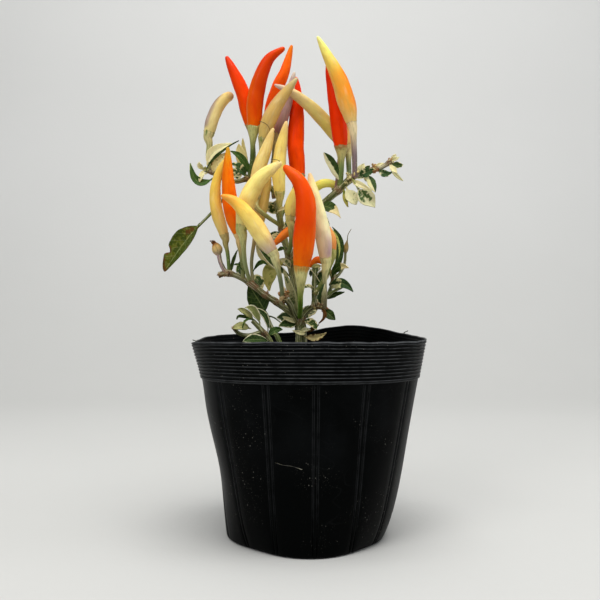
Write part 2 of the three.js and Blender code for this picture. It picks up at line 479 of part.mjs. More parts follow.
// The leaves of each stem: midrib foot, middle and tip, width, and roll in degrees about the midrib
const LEAVES = {
  trunk: [
    [[-2, -1, 103.5], [-3.5, -5, 102.5], [-8, -7, 104], 2.8, 10],
    [[-2.5, -2, 101], [3.5, -6, 100.5], [9, -9, 103], 3.5, 25],
    [[-2.5, -1.5, 109], [1.5, -6, 107.5], [4, -10, 104.5], 5.1, -20],
    [[-5.5, -1, 106.5], [-10.5, -4, 107], [-15, -6, 106], 5.6, 20],
    [[-5, -1, 108], [-9.5, -4, 109], [-13, -5.5, 111], 3.1, 30],
    [[-5, -2, 111], [-8.5, -8, 123.5], [-12.5, -12, 135], 4, -25],
    [[-4, 2, 108], [0, 9, 113], [5.5, 16, 114.5], 6.3, 0],
    [[-4.5, 2, 106], [-10, 9, 110], [-16.5, 15, 110], 6.8, 0],
    [[-3.5, 2, 104], [-4, 10, 105.5], [-1, 18, 103.5], 6.3, 0],
  ],
  left: [
    [[-30.5, -7, 131], [-34, -9, 136], [-37, -12, 137], 2.3, 30],
    [[-39, -6, 133], [-38.5, -5, 138.5], [-36, -4, 145], 1.8, 30],
    [[-28.5, -4, 133], [-24.5, -5, 138.5], [-20.5, -6, 137], 2.3, 35],
    [[-23.5, -4, 123], [-27, 6, 129], [-33, 12.5, 131], 6.8, 10],
    [[-33.5, -5.5, 130.5], [-34.5, 4, 135], [-36, 10, 139.5], 5.7, -10],
  ],
  centre: [
    [[-8, 0, 131], [-17, -3, 137], [-25, -4, 145.5], 4.1, 20],
    [[-9.5, 2, 137], [-21, 6, 141], [-27, 6, 149], 6.2, 0],
    [[-9.5, 2, 140], [-19, 5, 135], [-20, 4, 124], 7.8, 0],
    [[-9, 0, 136], [-11, -5, 138], [-14.5, -8, 140], 4.6, 25],
    [[-12, 0, 150], [-16, -3, 152], [-20, -5, 150], 3.1, 0],
    [[-11, 0, 146], [-13, -6, 145.5], [-16, -11, 143.5], 2.5, 20],
    [[-15, 1, 164], [-18, 3, 166], [-22, 4, 170], 4.7, 0],
    [[-13, 2, 154.5], [-9.5, 10, 158.5], [-4, 17, 160], 6.3, 10],
    [[-14.5, 2, 163.5], [-19, 11, 168], [-24.5, 18, 169], 6.9, -10],
    [[-11.5, 2, 148], [-16, 10, 152], [-22.5, 16, 152.5], 6.9, 10],
    [[-9.3, 1.5, 136], [-5, 10, 139], [-1, 17, 138], 6.3, 0],
  ],
  upper: [
    [[-52.5, 1, 186], [-49, -3, 195.5], [-36.5, -4, 200], 6.2, 15],
    [[-50, 1, 184.5], [-46, -2, 189.5], [-42, -3, 194.5], 6.2, -10],
    [[-48, 0, 183], [-56, -4, 179.5], [-60, -5, 189], 4.6, 15],
    [[-53.5, 0.5, 186.5], [-54.5, -3, 183], [-55.5, -4, 179.5], 2.6, 0],
    [[-30, 1, 182.5], [-33.5, -1, 191], [-40, -3, 195.5], 4.1, 15],
    [[-31.5, 1, 182], [-34.5, 3, 193], [-36, 4, 200.5], 5.7, 0],
    [[-31.5, 0.5, 182], [-35, -3, 186.5], [-39.5, -6, 188.5], 5, 20],
    [[-30, 1.5, 183], [-33, 4, 196], [-34, 4, 203.5], 2.1, 0],
    [[-35.5, 1.5, 181], [-38, 9, 185.5], [-43.5, 15, 188], 6.3, 10],
    [[-44.5, 1.5, 182.5], [-47.5, 9, 180.5], [-51, 14, 178], 5.8, -10],
    [[-29, 1.5, 181.5], [-27.5, 9, 186], [-28, 15, 191], 6.3, 0],
    [[-56.3, -3, 157], [-64, -4.5, 147], [-73, -6, 133.8], 10, 8],
  ],
  right: [
    [[18.5, 2, 179], [12.5, 0, 188], [8, -4, 194.5], 6.1, 15],
    [[25, 0.5, 183], [27, 1, 186.5], [29, 2, 190], 4.1, 0],
    [[26, 0, 183.5], [30, -4, 185], [35.5, -6, 186.5], 4.6, 25],
    [[30.5, 0, 185], [32.5, -4, 180], [34, -6, 175], 4.6, 0],
    [[23.5, 0.5, 182], [28.5, -6, 172], [33, -9, 165.5], 9.6, 0],
    [[19.5, 1.5, 179], [22.5, -3, 172], [25, -4, 168], 6.6, 0],
    [[18.5, 2, 178], [19, -0.5, 171.5], [20.5, -2, 167], 2.3, 0],
    [[22, 0.5, 181], [26, -6, 178], [32, -9, 174.5], 3, 20],
    [[42, 0, 190], [45.5, -2, 188.5], [48.5, -3, 188.5], 3.3, 15],
    [[36, 0, 187], [39, -3, 184], [42.5, -5, 184.5], 3.6, 20],
    [[42, 0.5, 190], [45, 1.5, 184.5], [49, 1, 181], 2.3, 0],
    [[42.5, 0, 190.5], [44, 0, 192.5], [45, 0, 194.5], 2.6, 0],
    [[5.5, 3.5, 166.5], [10.5, 0, 167], [16.5, -2, 161.5], 6.2, -15],
    [[13.5, 4, 175], [17, 12, 172.5], [22.5, 17, 170], 6.9, 10],
    [[23, 1.5, 182.5], [28, 10, 186], [33, 14, 191], 6.3, 10],
    [[5, 5, 166], [7.5, 13, 161], [11, 16, 154.5], 6.9, 0],
    [[31.5, 0.5, 185.5], [31.5, 8, 185], [31, 13, 182.5], 5.8, 0],
  ],
  lower_right: [
    [[13.5, -1, 137], [14.6, -2.5, 148], [9.5, -2, 157.5], 3.1, 50],
    [[12.8, -1, 130], [16, -1.5, 145.5], [12.5, 0, 157], 4.8, 35],
    [[12, -1.5, 130], [15, -5, 136], [20.5, -7, 135.5], 4.1, 20],
    [[10.5, -2, 123.5], [16, -7, 128], [22.5, -10, 123.5], 5.1, 15],
    [[9, -3, 119.5], [13, -3, 122], [18.5, -4, 123.5], 3.1, 30],
    [[6.5, -4, 116.5], [5, -11, 120], [4, -15, 126], 4, 35],
    [[8, -5, 114.5], [10.5, -8, 112], [13.5, -10, 109.5], 5, 0],
    [[6, -4, 116], [9, -11, 112.5], [7, -12, 106.5], 1.6, 0],
    [[3, -5, 124], [0.5, -10, 126], [-2, -14, 125.5], 2.8, 20],
    [[6, -3.5, 117], [6, 5, 120.5], [5, 13, 123], 6.3, 0],
    [[3, -4, 126], [7, 3, 131], [11.5, 9, 136], 6.2, 0],
    [[3.4, -5, 133.5], [3.5, 4, 134], [1.5, 11, 132.5], 6.2, 0],
  ],
  front_shoot: [
    [[-22, -12.5, 103], [-27, -15, 112.5], [-34, -18, 115.5], 5.5, 25],
    [[-27, -14, 107], [-30.5, -18, 107.5], [-35, -21, 106.5], 4.9, 15],
    [[-19, -12, 98.5], [-26, -19, 100], [-32, -23, 99], 5.4, 10],
    [[-20.5, -12, 101], [-17, -11, 104], [-13, -10, 104.5], 3.6, 0],
  ],
  rear_shoot: [
    [[-21.6, -1.8, 112.5], [-25.5, 1, 119], [-31, 2.5, 127.5], 11.3, 0],
  ],
};

// A pod's radius along its length: a full shoulder above the calyx, then a long curved taper to
// the tip, which is blunt
function podRadius(pod) {
  return (t) => {
    const shoulder = 0.28;
    const round = Math.sin((Math.PI / 2) * Math.min(1, t / shoulder)) ** 0.75;
    const rise = pod.foot + (1 - pod.foot) * round;
    const u = Math.max(0, (t - shoulder) / (1 - shoulder));
    return pod.tip + ((pod.girth / 2) * rise - pod.tip) * (1 - u ** pod.taper) ** 0.75;
  };
}

const step = (from, towards, length) => {
  const a = new THREE.Vector3(...from);
  const way = new THREE.Vector3(...towards).sub(a).normalize();
  return a.addScaledVector(way, length).toArray();
};

function makePod(pod) {
  const [foot, next] = pod.line;
  const line = [step(foot, next, GAP), step(foot, next, 3), ...pod.line.slice(1)];
  return alongLine(line, podRadius(pod), POD_RINGS, POD_SIDES);
}

// The stalk widens into the calyx, a cup that the pod's foot sits on
function makeStalk(pod) {
  const [foot, next] = pod.line;
  const line = [...pod.stalk, step(foot, next, -2), foot];
  const cup = (pod.girth / 2) * pod.foot;
  const radius = (t) => {
    const thin = pod.stalkRadius + 0.35 * t;
    return thin + (cup - thin) * Math.max(0, (t - 0.62) / 0.38) ** 1.5;
  };
  return alongLine(line, radius, 5, STEM_SIDES);
}

// Dried flower buds, each a small pear-shaped body at the end of its stalk
const BUDS = [
  { on: "left", line: [[-45.5, -6, 141.5], [-46.5, -6, 146], [-49.5, -6, 151.5]], radius: 2.7 },
  { on: "lower_right", line: [[19.2, 2, 143], [19.6, 2, 147], [20.3, 2, 150.5]], radius: 1.4 },
];

function makeBud(bud) {
  const radius = (t) => Math.max(0.4, bud.radius * Math.sin(Math.PI * t ** 0.8));
  return alongLine(bud.line, radius, 5, STEM_SIDES);
}

// Joins a stem's wood, leaves, stalks and buds into one body
function makeSpray(name) {
  const wood = (name === "trunk" ? TRUNK : STEMS[name]).map(([line, a, b]) => stem(line, a, b));
  const stalks = PODS.filter((pod) => pod.on === name).map(makeStalk);
  const buds = BUDS.filter((bud) => bud.on === name).map(makeBud);
  const blades = LEAVES[name].map(([foot, middle, tip, width, roll]) =>
    leaf([foot, middle, tip], width, roll, width > 6 ? 0.5 : 0.2),
  );
  return [...wood, ...stalks, ...buds, ...blades].reduce((whole, piece) => whole.add(piece));
}

// The same stems a little fatter and longer, to cut the clearance where one stem meets another
function clearance(lines) {
  const fat = lines.map(([line, a, b]) => {
    const end = line[line.length - 1];
    const longer = [...line.slice(0, -1), step(end, line[line.length - 2], -2 * GAP)];
    return stem(longer, a + GAP, b + GAP);
  });
  return fat.reduce((x, y) => x.add(y));
}

const FINISH = { pot: 0.35, soil: 0.95, stem: 0.6, leaf: 0.5, pod: 0.25 };
const plant = new THREE.Group();
plant.add(meshFrom(makePot(), "pot", COLOURS.black, FINISH.pot));
plant.add(meshFrom(makeSoil(), "soil", COLOURS.soil, FINISH.soil));
plant.add(meshFrom(makeSpray("trunk"), "stem_trunk", COLOURS.stem, FINISH.stem));
const nearTrunk = clearance(TRUNK);
const nearCentre = clearance(STEMS.centre);
const MEETS = {
  left: [nearTrunk, nearCentre],
  centre: [nearTrunk],
  upper: [nearCentre],
  right: [nearCentre],
  lower_right: [nearTrunk, nearCentre],
  front_shoot: [],
  rear_shoot: [],
};
for (const [name, met] of Object.entries(MEETS)) {
  const clear = met.reduce((spray, near) => spray.subtract(near), makeSpray(name));
  plant.add(meshFrom(clear, "stem_" + name, COLOURS.leaf, FINISH.leaf));
}
for (const pod of PODS) {
  plant.add(meshFrom(makePod(pod), pod.name, COLOURS[pod.colour], FINISH.pod));
}

export default plant;
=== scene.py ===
import contextlib
import math
import random
from dataclasses import dataclass

import bpy
from mathutils import Matrix, Vector, noise
from mathutils.geometry import interpolate_bezier


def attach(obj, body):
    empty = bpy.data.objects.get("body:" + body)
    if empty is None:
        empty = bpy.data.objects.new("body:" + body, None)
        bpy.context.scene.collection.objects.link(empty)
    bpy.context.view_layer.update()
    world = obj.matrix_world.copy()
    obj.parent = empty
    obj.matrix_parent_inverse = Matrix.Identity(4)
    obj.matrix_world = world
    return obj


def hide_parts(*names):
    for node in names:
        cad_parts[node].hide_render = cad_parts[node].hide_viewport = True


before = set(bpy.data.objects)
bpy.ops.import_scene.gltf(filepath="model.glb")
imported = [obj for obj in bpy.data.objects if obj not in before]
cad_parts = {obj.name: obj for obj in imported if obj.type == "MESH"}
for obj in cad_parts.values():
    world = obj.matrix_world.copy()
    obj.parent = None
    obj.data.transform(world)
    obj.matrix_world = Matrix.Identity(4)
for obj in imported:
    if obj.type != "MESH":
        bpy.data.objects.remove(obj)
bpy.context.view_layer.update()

# Nursery pot: one thin black polythene film, vacuum formed with a soft square rim, a stiffening
# band of fine ridges under the rim, fourteen panels parted by double creases, and a flat floor
# with drain holes. Lengths are in millimetres, as on the real pot, and made metres when placed.
MM = 0.001
POT_HEIGHT = 99.5
RIM_HALF_WIDTH = 58.7
RIM_HALF_DEPTH = 52.5
RIM_SQUARENESS = 2.6
BASE_RADIUS = 42.3
FILM = 0.7
PANELS = 14
PANEL_COLUMNS = 6
CREASE_TURN = math.radians(3.5)
CREASE_DEPTH = 0.6
CREASE_APART = 1.15
CREASE_HALF_WIDTH = 0.4
CREASE_SCALE = 0.85
# Distances of the film's columns from the middle of a double crease
CREASE_COLUMNS = [-1.9, -1.45, -1.15, -0.85, -0.4, 0.4, 0.85, 1.15, 1.45, 1.9]
BAND_HEIGHT = 18
BAND_FOOT = POT_HEIGHT - BAND_HEIGHT
BAND_STAND_OUT = 0.7
BAND_RIDGES = 11
RIDGE_DEPTH = 0.45
DRAIN_HOLES = 7
DRAIN_RADIUS = 4
DRAIN_RING = 30
# Directions are in degrees: 0 is to the right, 90 to the back, 270 to the front.
# Presses into the left flank: how deep, how high up, and over what height
LEFT = 180
FLANK_PRESSES = [(2.6, 34, 26), (1.8, 82, 15)]
FLANK_SPREAD = 42
# Tucks of the foot and lifts of the rim: how far, direction, and spread
FOOT_TUCK = 4
FOOT_TUCKS = [(1, 0, 30), (1, 314, 24), (0.9, 230, 24)]
RIM_LIFTS = [(4.6, 62, 24), (-2.4, LEFT, 26), (0.5, 270, 40)]
DENT = 0.55
LIP_WANDER = 0.35
BAND_EDGE_WANDER = 0.25
# How strong the painted highlight on the lips of the creases is
CREASE_HIGHLIGHT = 0.2


def pick(*chosen):
    """Leaves only these objects selected, with the last of them active."""
    if bpy.context.mode != "OBJECT":
        bpy.ops.object.mode_set(mode="OBJECT")
    bpy.ops.object.select_all(action="DESELECT")
    for obj in chosen:
        obj.select_set(True)
        bpy.context.view_layer.objects.active = obj


@contextlib.contextmanager
def editing(obj):
    """Edit mode on this object alone, and out of it again."""
    pick(obj)
    bpy.ops.object.mode_set(mode="EDIT")
    yield
    bpy.ops.object.mode_set(mode="OBJECT")


def straight_tube(name, sides, rings):
    """An open tube of radius 1 and height 1, drawn up from a circle ring by ring."""
    pick()
    bpy.ops.mesh.primitive_circle_add(vertices=sides, radius=1)
    tube = bpy.context.object
    tube.name = name
    with editing(tube):
        for _ in range(rings):
            bpy.ops.mesh.extrude_region_move(TRANSFORM_OT_translate={"value": (0, 0, 1 / rings)})
    return tube


def close_up(obj):
    """Closes the poles and seams of a shape, and turns its faces outwards."""
    with editing(obj):
        bpy.ops.mesh.select_all(action="SELECT")
        bpy.ops.mesh.remove_doubles(threshold=1e-6)
        bpy.ops.mesh.normals_make_consistent(inside=False)


def apply(obj, kind, **settings):
    """Adds a modifier with these settings to the object, and applies it."""
    pick(obj)
    modifier = obj.modifiers.new(kind.title(), kind)
    for key, value in settings.items():
        setattr(modifier, key, value)
    bpy.ops.object.modifier_apply(modifier=modifier.name)


def settle(obj, material, slot, *nodes):
    """Smooths a finished piece, dresses it, and ties it to the plant in place of these nodes."""
    obj.data.materials.clear()
    obj.data.materials.append(material)
    pick(obj)
    bpy.ops.object.shade_smooth_by_angle(angle=math.radians(50))
    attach(obj, "root")
    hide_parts(*nodes)


def write(obj, name, values):
    """Keeps a vector or a colour for each vertex of a piece, for its material to read."""
    kind, field = ("FLOAT_COLOR", "color") if len(values[0]) == 4 else ("FLOAT_VECTOR", "vector")
    kept = obj.data.attributes.new(name, kind, "POINT")
    kept.data.foreach_set(field, [x for value in values for x in value])


def smooth(value, low, high):
    """Rises softly from 0 at low to 1 at high."""
    share = min(1, max(0, (value - low) / (high - low)))
    return share * share * (3 - 2 * share)


def bell(away, spread):
    """1 in the middle, and soon 0 past the spread."""
    return math.exp(-((away / spread) ** 2))


def bump(angle, centre, spread):
    """A bell about one direction."""
    return bell((math.degrees(angle) - centre + 540) % 360 - 180, spread)


def ripple(angle, fineness, height):
    """Smooth noise on a round wall."""
    return noise.noise(Vector((fineness * math.cos(angle), fineness * math.sin(angle), height)))


def around(radius, angle, z):
    """A point this far out from the upright through the origin."""
    return radius * math.cos(angle), radius * math.sin(angle), z


def rim_radius(angle):
    """A soft square."""
    x = abs(math.cos(angle)) / RIM_HALF_WIDTH
    y = abs(math.sin(angle)) / RIM_HALF_DEPTH
    return (x**RIM_SQUARENESS + y**RIM_SQUARENESS) ** (-1 / RIM_SQUARENESS)


def wall_radius(angle, z):
    """The film is pressed in on its left flank, and its foot is tucked in on three sides."""
    flank = sum(deep * bell(z - height, tall) for deep, height, tall in FLANK_PRESSES)
    foot = sum(share * bump(angle, way, spread) for share, way, spread in FOOT_TUCKS)
    press = flank * bump(angle, LEFT, FLANK_SPREAD) + FOOT_TUCK * foot * math.exp(-z / 10)
    return BASE_RADIUS + (rim_radius(angle) - BASE_RADIUS) * z / POT_HEIGHT - press


def dent(angle, z):
    """Soft film never stands quite round: it has wide shallow dents."""
    return DENT * smooth(z, 2, 40) * ripple(angle, 2.1, z / 38)


def rim_lift(angle, z):
    """The rim rises at the back right and dips at the left."""
    share = smooth(z, POT_HEIGHT - 1.5 * BAND_HEIGHT, POT_HEIGHT)
    return share * sum(high * bump(angle, way, spread) for high, way, spread in RIM_LIFTS)


def film_rings():
    """The film from the middle of its floor out and up to its lip: share of the radius, distance
    outside the plain wall, height, share of the creases, and how strong its painted highlight is."""
    rings = [(share, -0.8, 0, 0, 0) for share in (0, 0.3, 0.5, 0.62, 0.74, 0.86, 0.94, 1)]
    rings += [(1, -0.25, 0.2, 0.2, 0), (1, 0, 0.8, 0.5, 0), (1, 0, 2.2, 1, 0)]
    rings += [(1, 0, 4 + 5.2 * k, 1, 0) for k in range(15)]
    rings += [(1, 0, BAND_FOOT - 1.1, 0.8, 0), (1, 0.05, BAND_FOOT - 0.45, 0.3, 0)]
    rings += [(1, 0.6, BAND_FOOT - 0.2, 0, 0.4), (1, BAND_STAND_OUT, BAND_FOOT + 0.1, 0, 0.4)]
    pitch = BAND_HEIGHT / BAND_RIDGES
    crest, valley = BAND_STAND_OUT, BAND_STAND_OUT - RIDGE_DEPTH
    ridge = [(crest, 0.35, 0), (crest, 0.55, 0.8), (valley, 0.72, 0), (valley, 0.88, 0)]
    for k in range(BAND_RIDGES):
        foot = BAND_FOOT + k * pitch
        rings += [(1, out, foot + part * pitch, 0, highlit) for out, part, highlit in ridge]
    return rings + [(1, BAND_STAND_OUT, POT_HEIGHT, 0, 0.9)]


def film_columns():
    """Angle of each column and how deep it lies in a crease, from 0 to 1."""
    columns = []
    pitch = 2 * math.pi / PANELS
    edge = CREASE_COLUMNS[-1] / BASE_RADIUS * CREASE_SCALE
    for k in range(PANELS):
        middle = k * pitch - math.pi / 2 + CREASE_TURN
        for away in CREASE_COLUMNS:
            deep = max(0, 1 - abs(abs(away) - CREASE_APART) / CREASE_HALF_WIDTH)
            columns.append((middle + away / BASE_RADIUS * CREASE_SCALE, deep))
        for j in range(1, PANEL_COLUMNS + 1):
            columns.append((middle + edge + (pitch - 2 * edge) * j / (PANEL_COLUMNS + 1), 0))
    return columns


RINGS = film_rings()
COLUMNS = film_columns()
pot = straight_tube("pot_film", len(COLUMNS), len(RINGS) - 1)
painted_highlights = []
for vertex in pot.data.vertices:
    share, out, z, creased, highlit = RINGS[round(vertex.co.z * (len(RINGS) - 1))]
    turn = math.atan2(vertex.co.y, vertex.co.x) / (2 * math.pi) * len(COLUMNS)
    angle, deep = COLUMNS[round(turn) % len(COLUMNS)]
    wander = smooth(z, POT_HEIGHT - 6, POT_HEIGHT) * LIP_WANDER * ripple(angle, 9, 3.7)
    ragged = BAND_EDGE_WANDER * ripple(angle, 22, 8.1)
    radius = (wall_radius(angle, z) + out) * share + dent(angle, z)
    radius = max(0, radius + wander * 0.6 - CREASE_DEPTH * deep * creased) if share else 0
    height = z + rim_lift(angle, z) + wander + ragged * bell(z - BAND_FOOT, 0.9)
    vertex.co = Vector(around(radius, angle, height)) * MM
    # Painted highlights: the lips of the creases and the crests of the ridges are made paler, less
    # so on the left flank
    crease_lip_highlight = CREASE_HIGHLIGHT * creased * smooth(z, 4, 30) if 0 < deep < 1 else 0
    pale = max(crease_lip_highlight, highlit * (1 - 0.75 * bump(angle, LEFT, 34)))
    painted_highlights.append((pale, pale, pale, 1))
write(pot, "painted_highlights", painted_highlights)
close_up(pot)
# An open bowl comes out of that inside out
with editing(pot):
    bpy.ops.mesh.flip_normals()
apply(pot, "SOLIDIFY", thickness=FILM * MM, offset=-1)
for k in range(DRAIN_HOLES):
    spot = [way * MM for way in around(DRAIN_RING, 2 * math.pi * k / DRAIN_HOLES, 0)]
    bpy.ops.mesh.primitive_cylinder_add(
        vertices=32, radius=DRAIN_RADIUS * MM, depth=6 * MM, location=spot)
    drill = bpy.context.object
    apply(pot, "BOOLEAN", object=drill, operation="DIFFERENCE", solver="EXACT")
    bpy.data.objects.remove(drill)


class Tone:
    """A value or colour over a surface: one socket of a material. Sums on it add Math nodes."""

    def __init__(self, tree, socket=None):
        self.tree = tree
        self.socket = socket

    def node(self, kind, inputs, out=0, **settings):
        """Any node, from its type, its settings, and the values or links of its sockets."""
        made = self.tree.nodes.new("ShaderNode" + kind)
        for key, value in settings.items():
            setattr(made, key, value)
        for key, value in inputs.items():
            socket = made.inputs[key]
            if isinstance(value, Tone):
                self.tree.links.new(value.socket, socket)
            else:
                socket.default_value = (*value, 1) if socket.type == "RGBA" else value
        return Tone(self.tree, made.outputs[out])

    def maths(self, operation, first, second=0):
        return self.node("Math", {0: first, 1: second}, operation=operation)

    def __add__(self, other):
        return self.maths("ADD", self, other)

    __radd__ = __add__

    def __mul__(self, other):
        return self.maths("MULTIPLY", self, other)

    __rmul__ = __mul__

    def __sub__(self, other):
        return self.maths("SUBTRACT", self, other)

    def __rsub__(self, other):
        return self.maths("SUBTRACT", other, self)

    def __abs__(self):
        return self.maths("ABSOLUTE", self)

    def place(self):
        """The place on the object, in metres."""
        return self.node("TexCoord", {}, out=3)

    def kept(self, name, out=1):
        """What each vertex keeps under this name: a vector, or a colour with out=0."""
        return self.node("Attribute", {}, out=out, attribute_name=name)

    def part(self, way):
        """One of the three parts of a vector."""
        return self.node("SeparateXYZ", {0: self}, out=way)


def new_skin(name, sockets):
    """A new material, with these constant values on its shader, and a tone to start from."""
    material = bpy.data.materials.new(name)
    material.use_nodes = True
    shader = material.node_tree.nodes["Principled BSDF"]
    for key, value in sockets.items():
        shader.inputs[key].default_value = value
    return material, Tone(material.node_tree)


def rgb(*seen):
    """A colour as it is seen, from 0 to 255, made the linear one that a shader takes."""
    return tuple(((c / 255 + 0.055) / 1.055) ** 2.4 if c > 10 else c / 255 / 12.92 for c in seen)


def stretched(place, x, y, z):
    """A place pattern, so many times finer along each way."""
    return place.node("VectorMath", {0: place, 1: (x, y, z)}, operation="MULTIPLY")


def cloud(place, scale, detail=3, rough=0.55):
    """Soft noise from 0 to 1."""
    sockets = {"Vector": place, "Scale": scale, "Detail": detail, "Roughness": rough}
    return place.node("TexNoise", sockets)


def between(value, low, high):
    """0 below low, 1 above high, and soft in between."""
    sockets = {"Value": value, "From Min": low, "From Max": high}
    return value.node("MapRange", sockets, interpolation_type="SMOOTHSTEP")


def mixed(share, first, second):
    """The first colour where the share is 0, and the second where it is 1."""
    return share.node("Mix", {0: share, 6: first, 7: second}, out=2, data_type="RGBA")


def spots(place, scale, size):
    """Round spots of about this size, as a share of their spacing."""
    away = place.node("TexVoronoi", {"Vector": place, "Scale": scale})
    return 1 - between(away, size * 0.5, size)


def lay(start, colour, roughness, height, depth):
    """Lays colour, roughness and a relief of this depth in millimetres on a skin."""
    relief = start.node("Bump", {"Height": height, "Strength": 1.0, "Distance": depth * MM})
    shader = start.tree.nodes["Principled BSDF"]
    for key, tone in (("Base Color", colour), ("Roughness", roughness), ("Normal", relief)):
        start.tree.links.new(tone.socket, shader.inputs[key])


def black_film():
    """Black polythene: satin, with painted highlights on its crests, a painted sheen on its upper
    wall, and faint dust, scuffs and flow.
    """
    material, start = new_skin("black_film", {"Specular IOR Level": 0.03})
    place = start.place()
    crest_highlights = start.kept("painted_highlights", 0).part(0)
    flow = cloud(stretched(place, 60, 60, 14), 1, 4)
    grain = cloud(place, 2600, 2)
    dust_field = cloud(place, 42, 3)
    dust = spots(place, 420, 0.12) * between(dust_field, 0.5, 0.62)
    fine_dust = spots(place, 1100, 0.16) * between(dust_field, 0.48, 0.66)
    scuff_arcs = abs(cloud(stretched(place, 46, 46, 70), 1, 1) - 0.5)
    scuffs = (1 - between(scuff_arcs, 0.0, 0.012)) * between(cloud(place, 30, 3), 0.52, 0.68)
    # Painted sheen: from 30 to 60 mm up, the film turns lighter in patches, standing in for a
    # reflection on the upper panels
    painted_upper_sheen = between(place.part(2), 0.03, 0.06) * between(cloud(place, 34, 3), 0.3, 0.7)
    black = mixed(painted_upper_sheen, rgb(0, 1, 1), rgb(9, 11, 12))
    # Painted highlights: crease lips, ridge crests and the lip are made paler grey in patches
    highlit = mixed(crest_highlights * between(cloud(place, 240, 3), 0.1, 0.7), black, rgb(80, 82, 84))
    dusty = mixed(dust * 0.4 + fine_dust * 0.22, highlit, rgb(150, 146, 138))
    scuffed = mixed(scuffs * 0.015, dusty, rgb(120, 122, 124))
    roughness = 0.3 + 0.16 * flow + 0.3 * dust + 0.1 * scuffs
    lay(start, scuffed, roughness, grain * 0.4 + flow, 0.09)
    return material


settle(pot, black_film(), "pot_film", "pot")

# Potting soil: dark peat with crumbs, bark bits and a few white perlite grains, filled to a
# little below the band and firmed lightly, higher round the stems. It lies loose in the pot.
SOIL_TOP = 84
SOIL_FLOOR = 1.4
SOIL_SIDES = 120
SOIL_RINGS = 44
SOIL_WALL_RINGS = 10
SOIL_GAP = 0.5
SOIL_MOUND = 1.1
SOIL_LUMP = 1.1
LUMP_SPACING = 23
# Fine unevenness: how high, how wide, and which part of the noise
SOIL_ROUGH = [(0.7, 4, 5.2), (0.35, 1.6, 9.1)]
# Where stems stand in it, and their radius
STEM_HOLES = [(-3.7, 0, 3.5), (-18.5, -12, 2), (-14, -6, 2.2)]


def soil_height(x, y):
    """The top of the soil: wide lumps, a low mound round each stem, and fine unevenness."""
    wave = 2 * math.pi / LUMP_SPACING
    lumps = SOIL_LUMP * math.sin(wave * x + 0.8) * math.sin(wave * y + 1.9)
    mounds = sum(
        math.exp(-((x - a) ** 2 + (y - b) ** 2) / (3 * r + 8) ** 2) for a, b, r in STEM_HOLES)
    fine = sum(high * noise.noise(Vector((x / wide, y / wide, k))) for high, wide, k in SOIL_ROUGH)
    return SOIL_TOP - 0.5 + lumps + SOIL_MOUND * mounds + fine


soil = straight_tube("potting_soil", SOIL_SIDES, SOIL_RINGS)
for vertex in soil.data.vertices:
    ring = round(vertex.co.z * SOIL_RINGS)
    angle = math.atan2(vertex.co.y, vertex.co.x)
    top = (ring - SOIL_WALL_RINGS) / (SOIL_RINGS - SOIL_WALL_RINGS)
    if ring == 0:
        radius, z = 0, SOIL_FLOOR
    elif top < 0:
        z = SOIL_FLOOR + (SOIL_TOP - 3 - SOIL_FLOOR) * (ring - 1) / (SOIL_WALL_RINGS - 1)
        radius = wall_radius(angle, z) - FILM - (SOIL_GAP if ring > 1 else 1.2)
    else:
        radius = (wall_radius(angle, SOIL_TOP) - FILM - SOIL_GAP) * (1 - top)
        z = soil_height(*around(radius, angle, 0)[:2]) - 1.5 * math.exp(-top * 40)
    vertex.co = Vector(around(radius, angle, z)) * MM
close_up(soil)


def peat():
    """Peat: brown lumps with bark fibres and pale grit."""
    material, start = new_skin("peat", {})
    place = start.place()
    lumps = cloud(place, 420, 5, 0.7)
    fibre = cloud(stretched(place, 1, 0.25, 1), 1500, 3)
    grit = spots(place, 700, 0.3) * between(cloud(place, 160, 2), 0.58, 0.62)
    brown = mixed(lumps, rgb(24, 17, 12), rgb(78, 58, 42))
    barky = mixed(between(fibre, 0.58, 0.7) * 0.6, brown, rgb(112, 82, 56))
    gritty = mixed(grit, barky, rgb(196, 190, 178))
    lay(start, gritty, 0.85 + 0.1 * lumps, lumps + 0.3 * fibre, 0.9)
    return material


settle(soil, peat(), "soil", "soil")

# Crumbs: loose bits of peat and bark and white perlite grains that lie on the soil, each a rough
# lump pressed a little into it.
CRUMBS = 420
CRUMB_COLOURS = [
    (44, 32, 24), (70, 50, 36), (96, 70, 46), (30, 24, 20), (58, 44, 32), (214, 210, 200)]
CRUMB_SHARES = (5, 4, 2, 4, 4, 1)
CRUMB_SIZE = (0.5, 1.7)
CRUMB_STRETCHES = (1, 1, 1.8, 2.6)
CRUMB_LIFT = 0.12
TURN = 6.28
random.seed(11)


def rough_lump(name, size, rough, seed):
    """A rough rounded lump of this size in millimetres."""
    pick()
    bpy.ops.mesh.primitive_ico_sphere_add(subdivisions=2, radius=1)
    lump = bpy.context.object
    lump.name = name
    turn = Matrix.Rotation(seed * 2.4, 3, Vector((math.sin(seed), math.cos(seed), 0.5)))
    for vertex in lump.data.vertices:
        swell = 1 + rough * noise.noise(vertex.co * 1.3 + Vector((seed, 3 * seed, 0)))
        vertex.co = turn @ (vertex.co * Vector(size)) * 0.5 * swell * MM
    return lump


def copy_of(pattern, name):
    """A copy with a mesh of its own."""
    made = pattern.copy()
    made.data = pattern.data.copy()
    made.name = name
    bpy.context.collection.objects.link(made)
    return made


def joined(name, pieces):
    """These pieces made one."""
    pick(*pieces)
    bpy.ops.object.join()
    whole = bpy.context.object
    whole.name = name
    return whole


